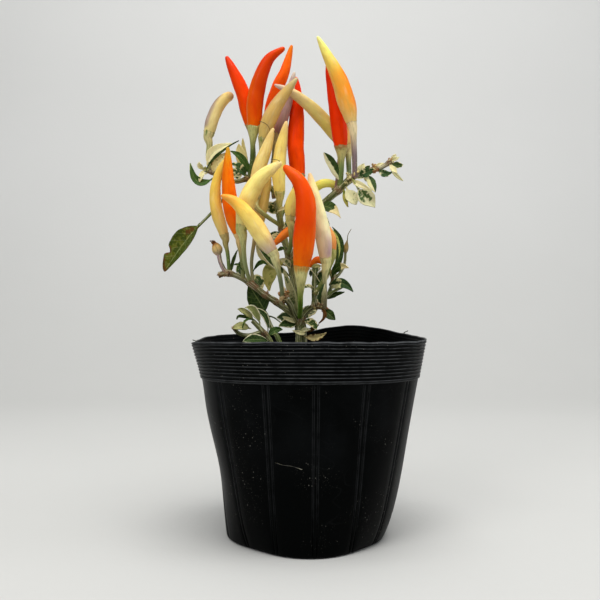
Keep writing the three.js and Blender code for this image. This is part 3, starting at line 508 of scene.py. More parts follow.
crumb_shapes = [rough_lump("crumb", (1, 0.8, 0.7), 0.9, 1 + k) for k in range(6)]
crumbs = []
for k in range(CRUMBS):
    angle = random.uniform(0, 2 * math.pi)
    reach = math.sqrt(random.uniform(0, 0.93)) * (wall_radius(angle, SOIL_TOP) - 2.5)
    x, y, _ = around(reach, angle, 0)
    crumb = copy_of(crumb_shapes[k % len(crumb_shapes)], "crumb")
    size = random.uniform(*CRUMB_SIZE) ** 1.5 + 0.4
    stretch = random.choice(CRUMB_STRETCHES)
    turn = Matrix.Rotation(random.uniform(0, TURN), 3, "Z")
    spot = Vector((x, y, soil_height(x, y) + CRUMB_LIFT * size)) * MM
    colour = random.choices(CRUMB_COLOURS, CRUMB_SHARES)[0]
    for vertex in crumb.data.vertices:
        long, wide, high = vertex.co
        vertex.co = turn @ Vector((long * size * stretch, wide * size, high * size)) + spot
    write(crumb, "tint", [(*rgb(*colour), 1)] * len(crumb.data.vertices))
    crumbs.append(crumb)
for shape in crumb_shapes:
    bpy.data.objects.remove(shape)
crumbs = joined("soil_crumbs", crumbs)


def crumb_skin():
    """A crumb in its own colour, mottled with dark peat."""
    material, start = new_skin("crumb_skin", {})
    lumps = cloud(start.place(), 1500, 3)
    colour = mixed(lumps, start.kept("tint", 0), rgb(38, 28, 20))
    lay(start, colour, 0.8 + 0.15 * lumps, lumps, 0.3)
    return material


settle(crumbs, crumb_skin(), "soil", "soil")

# Woody stems: one plant with a short trunk that forks low down, and two low shoots. Young wood is
# green and ribbed, older wood purple-brown, swollen and scarred where leaves and forks grow.
# Each line of a spray: points from the foot, first and last radius, how brown it is at each end,
# and the colour of its young wood where that is its own
STEMS = {
    "trunk": [
        [[[-3.7, 0, 66], [-3.7, 0, 84], [-3.6, 0, 101], [-4.6, 0, 110.5]], 3, 2.9, 0.1, 0.35],
        [[[-5, -1, 108], [-7.5, -4.5, 112.5], [-9.5, -8.5, 117.5],
         [-13.2, -11, 121.5]], 1.6, 1.4, 0.4, 0.6],
    ],
    "left": [
        [[[-6, 0, 110.5], [-11, -1, 114.5], [-16.5, -3, 118.5], [-22, -5, 122], [-29.5, -6, 128],
         [-33, -6, 130], [-40.5, -6, 133], [-46, -6, 132]], 1.8, 1.15, 0.45, 0.75],
        [[[-41.5, -6, 132.5], [-44.5, -6, 138.5], [-45.5, -6, 143.5]], 1.1, 1.1, 0.05, 0,
         (180, 146, 150)],
    ],
    "centre": [
        [[[-4.6, 0.5, 110], [-5.5, 1, 119.5], [-9.5, 1, 139], [-13.5, 1, 156.5],
         [-16.5, 1, 171]], 2, 1.5, 0.4, 0.3],
    ],
    "upper": [
        [[[-16.6, 1, 171.8], [-18.5, 1, 176.5], [-24, 1, 179.5], [-30.5, 1, 182],
         [-37, 1, 180.5], [-44.5, 1, 183], [-50, 1, 185.5], [-54.5, 1, 187]], 1.5, 0.9, 0.3, 0.6],
        [[[-38, 1, 181], [-43, -1, 172], [-50, -2, 163.5],
         [-56.8, -3.1, 156.4]], 0.95, 0.62, 0, 0, (104, 118, 58)],
    ],
    "right": [
        [[[-9, 1.5, 140.5], [-4, 3, 150.5], [1, 4, 160], [7, 4, 168.5], [15.5, 3, 176],
         [22.5, 1, 182.5]], 1.6, 1.8, 0, 0.05, (78, 86, 36)],
        [[[21, 1.5, 181], [22.5, 1, 182.5], [27.5, 0, 184.5], [33.5, 0, 186.5], [37.5, 0, 187.5],
         [43, 0, 191]], 1.2, 0.95, 0.3, 0.4, (176, 166, 134)],
    ],
    "lower_right": [
        [[[-3.4, 0.8, 110], [0.3, -0.8, 114.5], [3, -2.8, 116.2], [6, -4, 116.5],
         [10, -5, 113.5]], 1.5, 1.2, 0.3, 0.5],
        [[[3, -4, 116], [3, -5, 128], [3.5, -6, 136]], 1.3, 1.2, 0.2, 0.1],
        [[[6, -3, 116], [11, -2, 124], [13.5, -1, 132], [14, 0, 138]], 1, 0.9, 0.2, 0.2],
        [[[13, -1, 130], [16.5, -0.5, 133.5], [18.7, 1, 138], [19.3, 2, 144]], 0.8, 0.7, 0.4, 0.6],
        [[[5.5, -3.5, 117], [8.2, -3.3, 120], [13, -3.4, 123.8],
         [17.5, -4, 126.2]], 1.2, 0.7, 0, 0],
    ],
    "front_shoot": [
        [[[-18.5, -12, 70], [-18.5, -12, 97.5], [-23, -13, 104],
         [-28, -14, 109.5]], 1.55, 1.2, 0.35, 0.25],
        [[[-24, -12.8, 103], [-30, -15, 101.8], [-33.9, -15.6, 102.6], [-35.9, -16, 104.2],
         [-36.8, -17, 106]], 1.3, 0.85, 0.2, 0.3],
    ],
    "rear_shoot": [
        [[[-13.5, -6, 70], [-14.5, -6, 97.5], [-19, -4, 106],
         [-21.8, -1.5, 113]], 1.9, 0.95, 0, 0, (116, 138, 68)],
    ],
}
# Scarred knuckles of the wood: place, and how far they swell
KNUCKLES = [
    ([-4.6, 0, 109.5], 1.0), ([-29.5, -6, 128], 0.8), ([-40.5, -6, 133], 0.9),
    ([-45.5, -6, 132], 0.6), ([-27, -6, 126], 0.4), ([-13.2, -11, 121], 0.7),
    ([-9.5, 1, 139], 0.7), ([-13.3, 1, 156], 0.8), ([-17, 1, 172.5], 0.7), ([-30.5, 1, 182], 0.8),
    ([-50, 1, 185.3], 0.7), ([15.8, 3, 176.5], 0.7), ([22.5, 1, 182.5], 0.9),
    ([33.5, 0, 186.5], 0.9), ([42, 0, 190.3], 0.8), ([6, -4, 116.5], 0.8), ([3, -4, 116], 0.6),
    ([13, -1, 130], 0.5), ([-22, -12.8, 102.8], 0.5), ([1, 4, 160], 0.5),
    ([-36.8, -17, 106], 0.4), ([-22, -5, 122], 0.35), ([-16.5, -3, 118.5], 0.3),
    ([10, -5, 113.7], 0.5),
]
# How dark a green each spray's young wood is
SHADES = {"trunk": 0.45, "right": 0.6, "lower_right": 0.5, "front_shoot": 0.25}
WOOD_SIDES = 20
WOOD_RINGS = 90
WOOD_RIBS = 5
RIB_HEIGHT = 0.055
WOOD_ROUGH = 0.1
LINE_STEPS = 160
YOUNG = (140, 150, 84)
DARK_YOUNG = (66, 84, 34)
BROWN = (120, 106, 84)
KNUCKLE_BROWN = (130, 94, 66)


class SmoothLine:
    """A smooth curve through points in millimetres, walked evenly from foot to end. Its back side
    starts away from the show side and turns no more than it must."""

    def __init__(self, points):
        knots = [Vector(point) for point in points]
        knots = [2 * knots[0] - knots[1], *knots, 2 * knots[-1] - knots[-2]]
        dense = []
        for a, b, c, d in zip(knots, knots[1:], knots[2:], knots[3:]):
            ab, bc, cd = (math.sqrt(way.length) for way in (b - a, c - b, d - c))
            leave = ((b - a) / ab - (c - a) / (ab + bc) + (c - b) / bc) * bc
            arrive = ((c - b) / bc - (d - b) / (bc + cd) + (d - c) / cd) * bc
            dense += interpolate_bezier(b, b + leave / 3, c - arrive / 3, c, 24)[:-1]
        dense.append(knots[-2])
        walked = [0]
        for a, b in zip(dense, dense[1:]):
            walked.append(walked[-1] + (b - a).length)
        self.length = walked[-1]
        self.spots = []
        k = 0
        for step in range(LINE_STEPS + 1):
            goal = self.length * step / LINE_STEPS
            while k < len(dense) - 2 and walked[k + 1] < goal:
                k += 1
            share = (goal - walked[k]) / max(1e-9, walked[k + 1] - walked[k])
            self.spots.append(dense[k].lerp(dense[k + 1], share))
        self.runs = []
        for step in range(LINE_STEPS + 1):
            ahead = self.spots[min(LINE_STEPS, step + 1)]
            self.runs.append((ahead - self.spots[max(0, step - 1)]).normalized())
        back = Vector((0, 1, 0.02))
        self.backs = []
        for run in self.runs:
            back = (back - run * back.dot(run)).normalized()
            self.backs.append(back)

    def at(self, share):
        """The spot, right side, back side and run at this share of the length."""
        step = min(LINE_STEPS - 1, max(0, int(share * LINE_STEPS)))
        rest = share * LINE_STEPS - step
        inside = min(1, max(0, rest))
        run = self.runs[step].lerp(self.runs[step + 1], inside).normalized()
        back = self.backs[step].lerp(self.backs[step + 1], inside).normalized()
        spot = self.spots[step].lerp(self.spots[step + 1], rest)
        return spot, back.cross(run), back, run


def bend(tube, line, radius, tint, spacing=lambda z, angle: z):
    """Bends an upright tube along a line. radius(share, angle, spot) is in millimetres, and
    tint(share, angle, spot) is a seen colour. Keeps the straight shape, for patterns that follow
    the length."""
    straight, tints = [], []
    for vertex in tube.data.vertices:
        ended = vertex.co.z < 1e-4 or vertex.co.z > 1 - 1e-4
        angle = math.atan2(vertex.co.y, vertex.co.x)
        share = spacing(vertex.co.z, 0 if ended else angle)
        spot, right, back, run = line.at(share)
        r = 0 if ended else radius(share, angle, spot)
        straight.append(around(r, angle, share * line.length))
        tints.append((*rgb(*tint(share, angle, spot)), 1))
        vertex.co = (spot + right * r * math.cos(angle) + back * r * math.sin(angle)) * MM
    write(tube, "straight", straight)
    write(tube, "tint", tints)


def blend_of(first, second, share):
    """The first colour at share 0, and the second at 1."""
    return tuple(a + (b - a) * min(1, max(0, share)) for a, b in zip(first, second))


def swelling(spot):
    """How much a knuckle swells the wood here, and how scarred it is."""
    swell, scar = 0, 0
    for place, size in KNUCKLES:
        near = bell((spot - Vector(place)).length, 1.3 + size)
        swell += size * near * 0.75
        scar = max(scar, near)
    return swell, scar


def fleshy(specular, share, reach):
    """Sockets of a skin that light goes into: its sheen, how much goes in, and how far."""
    return {"Specular IOR Level": specular, "Subsurface Weight": share,
            "Subsurface Radius": reach, "Subsurface Scale": MM}


def stem_skin():
    """Young bark: a waxy skin with long streaks, fine ribs and scattered pale pores."""
    material, start = new_skin("stem_skin", fleshy(0.2, 0.08, (0.5, 0.6, 0.2)))
    place = start.kept("straight")
    ribs = cloud(stretched(place, 1.6, 1.6, 0.12), 1, 3)
    mottle = cloud(place, 0.9, 4)
    pores = spots(stretched(place, 1, 1, 0.5), 1.5, 0.2)
    dark = mixed(between(ribs, 0.5, 0.64) * 0.8, start.kept("tint", 0), rgb(46, 46, 26))
    pale_ribs = between(cloud(stretched(place, 2.3, 2.3, 0.05), 1, 2), 0.53, 0.62)
    lined = mixed(pale_ribs * 0.75, dark, rgb(198, 194, 156))
    pale = mixed(between(mottle, 0.6, 0.75) * 0.4, lined, rgb(176, 168, 128))
    pored = mixed(pores * 0.5, pale, rgb(206, 198, 166))
    lay(start, pored, 0.45 + 0.2 * mottle, ribs + 0.4 * mottle + pores * 0.3, 0.35)
    return material


def stem_slot(spray):
    """Returns stem for the trunk, and leaf for the leafy sprays."""
    return "stem" if spray == "trunk" else "leaf"


stem_bark = stem_skin()
wood_pattern = straight_tube("wood_pattern", WOOD_SIDES, WOOD_RINGS)
for spray, lines in STEMS.items():
    woods = []
    for points, first, last, foot_brown, end_brown, *own in lines:
        line = SmoothLine(points)
        seed = points[0][0] + points[-1][2]

        def girth(share, angle, spot):
            ribs = RIB_HEIGHT * math.cos(WOOD_RIBS * angle + 0.06 * share * line.length)
            rough = WOOD_ROUGH * ripple(angle, 2, spot.z * 0.7 + seed)
            return (first + (last - first) * share) * (1 + ribs + rough) + swelling(spot)[0]

        def bark(share, angle, spot):
            young = own[0] if own else blend_of(YOUNG, DARK_YOUNG, SHADES.get(spray, 0))
            base = blend_of(young, BROWN, foot_brown + (end_brown - foot_brown) * share)
            streak = 0.5 + ripple(angle, 1.7, spot.z * 0.11 + seed)
            streaked = (0.2 if own else 0.55) * streak * (1 - foot_brown)
            base = blend_of(base, DARK_YOUNG, streaked)
            return blend_of(base, KNUCKLE_BROWN, 0.9 * swelling(spot)[1])

        wood = copy_of(wood_pattern, "wood")
        bend(wood, line, girth, bark)
        woods.append(wood)
    wood = joined("wood_" + spray, woods)
    close_up(wood)
    settle(wood, stem_bark, stem_slot(spray), "stem_" + spray)
bpy.data.objects.remove(wood_pattern)

# Pods: upright fruits of one plant at every stage, from green-cream and lilac through yellow and
# orange to red. Each has a glossy waxy skin, a full shoulder in its calyx and a long curved taper.
POD_SIDES = 28
POD_RINGS = 48
SHOULDER = 0.28
SEAT = 0.3
FULLNESS = 0.75
POD_UNEVEN = 0.08
POD_DIMPLES = 0.03
FLANK_TINT = 0.9


@dataclass
class Pod:
    """One fruit: its name, its spray and its skin, its widest diameter and the share of it at the
    calyx, its line from the foot, its stalk's line, and its colours along the length. flanks are
    tints on one side: direction, spread, start and end along the pod, and colour; on some red and
    orange pods they are painted shade on the left and painted light on the right front. tip is the
    radius of its blunt tip, and taper says how late it narrows. cup, rim, teeth, edge and pedicel
    are the colours of its calyx and stalk."""

    name: str
    spray: str
    ripeness: str
    girth: float
    foot: float
    line: list
    stalk: list
    skin: list
    flanks: list = ()
    tip: float = 0.5
    taper: float = 2.1
    stalk_radius: float = 0.95
    cup: tuple = (176, 150, 92)
    pedicel: tuple = (96, 112, 50)
    rim: tuple = None
    teeth: tuple = None
    edge: tuple = (158, 124, 66)


PODS = [
    Pod("red_left", "upper", "red", 7.7, 0.7,
        [[-30, 8, 211], [-34.5, 8, 229], [-38.5, 8, 238], [-43, 8, 247.5]],
        [[-30.5, 2, 183], [-28.5, 6, 192], [-29, 8, 203]],
        [(0, 236, 88, 0), (0.3, 240, 72, 0), (0.7, 240, 62, 0), (1, 216, 54, 8)],
        tip=0.65, taper=2),
    Pod("orange_red", "upper", "red", 8.6, 0.72,
        [[-28, 0, 208], [-27, 0, 224], [-23, -0.5, 238], [-19.5, -0.5, 244], [-12, -1, 249]],
        [[-30.5, 0, 182], [-29, 0, 190.5], [-28.5, 0, 200]],
        [(0, 230, 102, 0), (0.15, 224, 78, 0), (0.45, 200, 62, 0), (0.8, 212, 58, 0),
        (1, 222, 72, 6)],
        flanks=[(180, 50, 0.0, 0.6, 232, 112, 8), (15, 45, 0.2, 0.9, 222, 46, 4)],
        tip=0.8, taper=1.7, cup=(190, 188, 120), pedicel=(62, 82, 30)),
    Pod("red_back", "upper", "red", 7.9, 0.78,
        [[-17.5, 13, 207.5], [-19.5, 13, 216], [-16.5, 13, 231], [-12.5, 13, 240.5],
        [-8.5, 13, 255]],
        [[-24, 2, 179.5], [-20, 8, 187], [-17, 12, 200]],
        [(0, 255, 96, 22), (0.5, 255, 98, 14), (0.8, 252, 104, 10), (1, 228, 122, 18)],
        tip=0.55, taper=1.5),
    Pod("cream_hook", "upper", "cream", 6.7, 0.8,
        [[-51.3, 2, 205.5], [-49.9, 2, 211.5], [-47, 2, 218.7], [-42.8, 1, 223.4],
        [-38.5, 0, 225.2]],
        [[-50, 2, 185.5], [-51.5, 2, 194], [-51, 2, 200]],
        [(0, 226, 208, 138), (0.5, 238, 214, 138), (0.85, 240, 208, 124), (1, 170, 128, 84)],
        flanks=[(190, 42, 0.08, 0.8, 116, 90, 98), (230, 24, 0.1, 0.66, 164, 140, 128)],
        tip=1.9, stalk_radius=1.25, cup=(206, 192, 134), pedicel=(160, 162, 104), teeth=(78, 106,
        40)),
    Pod("tan_upper", "upper", "cream", 7.6, 0.8,
        [[-22.5, -3, 201.5], [-21.5, -4, 207], [-17, -6, 216.5], [-10.5, -7, 225.5],
        [-5.5, -8, 231.5]],
        [[-30, 1, 182], [-25.5, -1, 190], [-23.5, -2.5, 196.5]],
        [(0, 208, 184, 106), (0.35, 220, 178, 98), (0.75, 204, 168, 94), (1, 196, 182, 136)],
        flanks=[(170, 38, 0.25, 0.95, 166, 132, 118)],
        tip=0.4, taper=1.8, cup=(190, 178, 118), pedicel=(158, 150, 118), teeth=(110, 140, 52)),
    Pod("mauve", "upper", "mauve", 5.7, 0.85,
        [[-16, 6, 205.5], [-12.5, 5, 216], [-8.5, 3, 231.5], [-7, 2, 237.5]],
        [[-21, 1, 178.5], [-18.5, 5, 190], [-17, 6, 201]],
        [(0, 154, 110, 98), (0.4, 204, 166, 158), (0.8, 212, 184, 172), (1, 222, 206, 186)],
        tip=0.4, cup=(176, 160, 110), pedicel=(110, 112, 74)),
    Pod("yellow_leaning", "centre", "yellow", 7.1, 0.8,
        [[-27, -7, 172], [-25, -8, 185], [-21, -8.5, 196], [-17.5, -9, 206]],
        [[-13.8, 0, 157.5], [-20, -6.5, 161], [-26.5, -8, 166.5]],
        [(0, 236, 218, 150), (0.5, 240, 214, 128), (1, 226, 196, 128)],
        flanks=[(0, 40, 0.2, 1, 222, 188, 112)],
        cup=(206, 196, 130), pedicel=(150, 158, 92)),
    Pod("red_centre", "centre", "red", 8.8, 0.76,
        [[-5, 4, 183.5], [-6.5, 6, 200], [-6, 8, 215.5], [-6, 9, 229.5], [-6.5, 9, 237]],
        [[-14.5, 1, 162], [-10, 4, 171], [-6, 4, 179]],
        [(0, 255, 84, 0), (0.4, 255, 68, 0), (0.8, 246, 52, 4), (1, 218, 56, 18)],
        # Painted shade darkens its left side, and painted light brightens its right front
        flanks=[(180, 40, 0, 0.9, 236, 54, 0), (330, 30, 0, 0.7, 255, 80, 2)],
        tip=0.8),
    Pod("orange_tall", "right", "yellow", 9.2, 0.52,
        [[22, -7, 208.5], [20, -7, 217], [16, -7, 230], [10, -7, 242.5], [4.5, -8, 252.5]],
        [[24, 0, 182.5], [23.5, -5, 192], [22.8, -7, 202]],
        [(0, 236, 204, 132), (0.12, 242, 186, 96), (0.3, 244, 160, 52), (0.5, 248, 170, 56),
        (0.62, 246, 200, 84), (0.8, 252, 236, 116), (1, 250, 244, 150)],
        flanks=[(350, 60, 0.08, 0.6, 246, 122, 8), (180, 36, 0.0, 0.5, 240, 204, 128)],
        taper=1.3, stalk_radius=1.2, cup=(232, 210, 162), pedicel=(142, 120, 128), rim=(234, 208,
        156), edge=(196, 158, 112)),
    Pod("orange_front", "trunk", "orange", 10.5, 0.7,
        [[-3.5, -28, 135], [-2.5, -29, 146], [-1.5, -29, 164.5], [-4, -28, 175], [-12, -27, 184]],
        [[-4.5, -1, 110], [-4, -14, 115.5], [-4, -23, 121.5], [-3.7, -27.5, 129.5]],
        [(0, 238, 112, 0), (0.15, 234, 96, 0), (0.4, 220, 66, 0), (0.7, 228, 70, 0),
        (1, 238, 92, 12)],
        # Painted shade darkens its left side, and painted light brightens its right front
        flanks=[(200, 40, 0.25, 0.8, 216, 56, 0), (350, 34, 0.1, 0.95, 250, 104, 12)],
        tip=1, stalk_radius=1.1, cup=(206, 198, 128), pedicel=(96, 144, 20), rim=(190, 140, 60),
        teeth=(204, 128, 40), edge=(200, 108, 34)),
    Pod("yellow_small", "centre", "yellow", 6.2, 0.75,
        [[-9, -16, 160.5], [-8.5, -17, 166], [-7, -18, 171], [-5.5, -19, 176]],
        [[-10.5, 0, 143.5], [-9, -8, 146], [-8.5, -14, 151], [-8.7, -16, 156]],
        [(0, 226, 214, 122), (0.5, 240, 222, 112), (1, 226, 206, 108)],
        cup=(196, 186, 110), pedicel=(122, 136, 70)),
    Pod("lavender", "lower_right", "cream", 8, 0.68,
        [[8.5, -16, 139.5], [7.3, -17, 151], [2.5, -18, 171.5], [0.5, -18, 182]],
        [[8.5, -4, 114.5], [8.5, -10, 122], [8, -14.5, 129], [8.3, -16, 135]],
        [(0, 248, 218, 170), (0.1, 252, 226, 174), (0.28, 255, 240, 190), (0.6, 255, 247, 184),
        (0.85, 255, 238, 164), (1, 226, 188, 142)],
        flanks=[(312, 42, 0.0, 0.22, 176, 136, 160), (180, 30, 0.1, 0.7, 240, 212, 164)],
        stalk_radius=0.85, cup=(232, 222, 154), pedicel=(172, 166, 132)),
    Pod("orange_sliver", "lower_right", "orange", 5.5, 0.75,
        [[12, -6, 144], [11.3, -6, 150.5], [8, -6, 157], [3.5, -6, 163]],
        [[3, -5, 122], [8, -6, 130], [11.5, -6, 139]],
        [(0, 236, 166, 92), (0.5, 242, 168, 92), (1, 240, 180, 110)],
        cup=(176, 172, 96), pedicel=(122, 136, 70)),
    Pod("yellow_front", "trunk", "yellow", 8.3, 0.64,
        [[-17.5, -26, 142.5], [-22, -27.3, 149.5], [-28.5, -28.6, 159], [-35.5, -28.6, 166.5],
        [-42, -28.4, 169.5]],
        [[-13, -10.5, 120.5], [-13.5, -19, 127.5], [-14.7, -24, 134], [-16.2, -25.7, 139.5]],
        [(0, 206, 184, 168), (0.1, 226, 202, 160), (0.22, 250, 226, 138), (0.6, 254, 218, 104),
        (0.8, 252, 186, 70), (1, 250, 150, 44)],
        flanks=[(70, 56, 0.2, 1, 248, 146, 44), (0, 40, 0.0, 0.2, 190, 164, 170)],
        tip=0.55, cup=(214, 208, 146), pedicel=(140, 150, 112)),
    Pod("yellow_outer", "left", "yellow", 6.3, 0.7,
        [[-42.5, -6, 152], [-46.5, -6, 165], [-47, -6, 176.5], [-44.5, -6.5, 186],
        [-41.5, -7, 191]],
        [[-40, -6, 132.5], [-41, -6, 143.5], [-42, -6, 148]],
        [(0, 216, 186, 112), (0.4, 238, 198, 90), (0.8, 244, 204, 82), (1, 232, 188, 84)],
        flanks=[(0, 42, 0.3, 0.95, 238, 150, 50)],
        tip=0.6, taper=1.7, stalk_radius=0.8, cup=(178, 158, 98), pedicel=(92, 112, 56)),
    Pod("orange_left", "left", "orange", 8, 0.55,
        [[-35, -12, 152], [-38.5, -13, 165], [-40, -14, 180.5], [-40, -14, 195.5]],
        [[-33, -6, 130], [-33.5, -10, 140], [-34.5, -12, 148]],
        [(0, 236, 118, 10), (0.3, 240, 100, 0), (0.5, 255, 116, 0), (0.72, 246, 124, 4),
        (0.88, 224, 144, 20), (1, 180, 142, 44)],
        # Painted shade darkens its left side, and painted light brightens its right front
        flanks=[(200, 34, 0.4, 0.9, 226, 112, 8), (330, 30, 0.3, 0.8, 254, 118, 6)],
        tip=0.55, taper=1.5, cup=(222, 188, 126), pedicel=(132, 138, 84)),
    Pod("yellow_large", "left", "yellow", 8.8, 0.69,
        [[-32.5, -20, 155.5], [-30, -21, 168], [-24.5, -21.5, 177.5], [-17.5, -22, 183.5],
        [-13, -22, 186.5]],
        [[-29.5, -6, 128], [-31.5, -14, 137.5], [-32, -18.5, 146.5], [-32.3, -19.7, 151.5]],
        [(0, 224, 210, 132), (0.4, 246, 226, 128), (0.8, 248, 230, 138), (1, 242, 224, 156)],
        flanks=[(150, 40, 0.25, 0.6, 214, 190, 140)],
        tip=0.8, cup=(196, 190, 122), pedicel=(158, 166, 112), teeth=(120, 156, 66)),
    Pod("yellow_inner", "left", "yellow", 7.2, 0.7,
        [[-25.5, -1, 158.5], [-24.5, -1.5, 166], [-22.5, -2.5, 174], [-19.5, -4.5, 182]],
        [[-28, -5, 127], [-29, -3, 138], [-28, -2, 147], [-26.3, -1.3, 154.5]],
        [(0, 222, 190, 112), (0.5, 236, 206, 120), (1, 230, 200, 116)],
        tip=0.6, stalk_radius=0.75, cup=(190, 160, 100), pedicel=(140, 136, 100)),
    Pod("yellow_centre", "centre", "yellow", 6.9, 0.76,
        [[-14.5, -7, 173.5], [-15, -8, 183.5], [-14, -8, 194.5], [-11, -9, 209.5]],
        [[-13.5, 0, 156.5], [-14, -5, 163], [-14.5, -6.7, 169.5]],
        [(0, 244, 226, 122), (0.35, 248, 224, 116), (0.8, 240, 208, 114), (1, 226, 190, 130)],
        flanks=[(10, 40, 0.35, 1, 206, 162, 116)],
        cup=(206, 196, 120), pedicel=(146, 156, 88), teeth=(120, 150, 60)),
    Pod("cream_arch", "right", "cream", 7.3, 0.66,
        [[18.4, 8.7, 200.6], [13.6, 8.9, 207.4], [8.3, 8, 213.8], [-1.2, 3, 221.8],
        [-10, -2, 226.5], [-17.5, -1, 230]],
        [[14.5, 3.2, 175.8], [15.5, 5, 184], [17.3, 9, 195.4]],
        [(0, 210, 198, 116), (0.25, 218, 206, 100), (0.6, 240, 222, 138), (0.75, 236, 210, 144),
        (1, 200, 172, 168)],
        flanks=[(200, 46, 0.78, 1, 204, 182, 168), (90, 30, 0.3, 0.8, 214, 196, 146)],
        tip=0.4, taper=1.8, cup=(190, 172, 116), pedicel=(124, 94, 84)),
    Pod("red_right", "right", "red", 8.4, 0.78,
        [[17, 2.5, 198.6], [16.1, 2, 208], [14.1, 1.5, 222.5], [11.2, 1, 236.5], [10, 1, 242]],
        [[16.5, 3, 177], [17, 1.5, 187], [17.2, 2.2, 194]],
        [(0, 240, 62, 0), (0.5, 240, 52, 0), (1, 218, 44, 8)],
        # Painted shade darkens its left side
        flanks=[(180, 36, 0, 1, 218, 40, 0)],
        tip=0.7, stalk_radius=1.35, cup=(190, 178, 112), pedicel=(104, 124, 66), rim=(176, 128,
        72), teeth=(152, 108, 56), edge=(150, 92, 48)),
    Pod("cream_rear", "right", "cream", 5.6, 0.8,
        [[22, 13, 201], [22.8, 13.5, 207], [22.5, 14, 213], [20, 14, 221]],
        [[21.5, 2, 181.5], [21.5, 8, 187], [21.5, 12, 196]],
        [(0, 234, 206, 140), (0.5, 238, 188, 112), (1, 234, 196, 140)],
        tip=0.6, stalk_radius=1.15, cup=(214, 200, 140), pedicel=(92, 108, 68)),
    Pod("yellow_arched", "right", "yellow", 5, 0.8,
        [[-1, 10, 170], [2, 10, 177], [8, 7, 180.5], [14, 7, 180], [19.5, 8, 178]],
        [[1, 4.5, 160], [-1.5, 8, 162], [-1.5, 10, 166]],
        [(0, 244, 236, 128), (0.5, 255, 248, 116), (1, 240, 230, 120)],
        tip=0.8, cup=(196, 186, 110), pedicel=(122, 136, 70)),
    Pod("orange_small", "centre", "orange", 4.6, 0.85,
        [[-4, -8, 156.5], [-8, -9, 155], [-12.5, -9.5, 152], [-17.5, -10, 147]],
        [[-9.3, 0, 138], [-3.5, -4, 144], [-1.5, -7, 152]],
        [(0, 240, 140, 50), (1, 238, 130, 44)],
        tip=0.8, pedicel=(122, 136, 70)),
    Pod("orange_low", "lower_right", "orange", 3.8, 0.8,
        [[9.5, 4, 137], [8.2, 4, 139.6], [4.5, 4, 140.2], [0.6, 4, 136.4]],
        [[11.8, -1, 127], [12.5, 3, 130.5], [11.3, 4, 134.3]],
        [(0, 250, 120, 34), (1, 250, 112, 26)],
        tip=0.7, stalk_radius=0.7, pedicel=(110, 120, 60)),
]


def along(a, b, length):
    """The point this far from a on the way to b."""
    return Vector(a) + (Vector(b) - Vector(a)).normalized() * length


def colour_along(stops, share):
    """The colour at this share of a length, between its stops."""
    for (low, *first), (high, *second) in zip(stops, stops[1:]):
        if share <= high:
            return blend_of(first, second, (share - low) / (high - low))
    return stops[-1][1:]


def pod_skin(name, streaks, specks, bloom, deep):
    """Waxy pod skin over a tint: lengthwise streaks, fine specks, and a soft uneven gloss."""
    gloss = {"Coat Weight": 0.03, "Coat Roughness": 0.14}
    material, start = new_skin(name, {**fleshy(0.06, 0.06, (1.6, 0.7, 0.25)), **gloss})
    place = start.kept("straight")
    long_streaks = cloud(stretched(place, 0.75, 0.75, 0.07), 1, 4, 0.6)
    blotches = cloud(stretched(place, 0.3, 0.3, 0.16), 1, 3)
    blooming = between(cloud(stretched(place, 0.4, 0.4, 0.1), 1, 2), 0.52, 0.75)
    speck = spots(place, 1.5, 0.13) * between(cloud(place, 0.35, 2), 0.56, 0.64)
    deeper = mixed(between(blotches, 0.42, 0.72) * streaks, start.kept("tint", 0), deep)
    streaked = mixed(between(long_streaks, 0.5, 0.72) * streaks, deeper, deep)
    paler = mixed(blooming * bloom, streaked, rgb(252, 236, 190))
    specked = mixed(speck * specks, paler, rgb(112, 82, 52))
    relief = blotches + 0.25 * long_streaks + 0.2 * cloud(place, 3, 3)
    lay(start, specked, 0.3 + 0.16 * blotches, relief, 0.22)
    return material


POD_SKINS = {
    "red": pod_skin("red_skin", 0.24, 0.15, 0, rgb(204, 38, 0)),
    "orange": pod_skin("orange_skin", 0.35, 0.2, 0, rgb(216, 62, 0)),
    "yellow": pod_skin("yellow_skin", 0.34, 0.6, 0.2, rgb(200, 158, 76)),
    "cream": pod_skin("cream_skin", 0.25, 0.8, 0.2, rgb(172, 150, 104)),
    "mauve": pod_skin("mauve_skin", 0.4, 0.5, 0.12, rgb(116, 84, 82)),
}


def close_ends(share, angle):
    """Rings stand closer near both ends."""
    return 0.22 * share + 0.78 * (0.5 - 0.5 * math.cos(math.pi * share))


def pod_radius(pod, share, length):
    """A full shoulder above the calyx, then a long curved taper to a rounded tip."""
    shoulder = math.sin(math.pi / 2 * min(1, share / SHOULDER)) ** FULLNESS
    widest = pod.girth / 2 * (pod.foot + (1 - pod.foot) * shoulder)
    taper = max(0, (share - SHOULDER) / (1 - SHOULDER))
    body = pod.tip + (widest - pod.tip) * (1 - taper**pod.taper) ** FULLNESS
    cap = max(0, 1 - (1 - share) * length / (1.3 * pod.tip))
    return body * math.sqrt(1 - cap * cap)


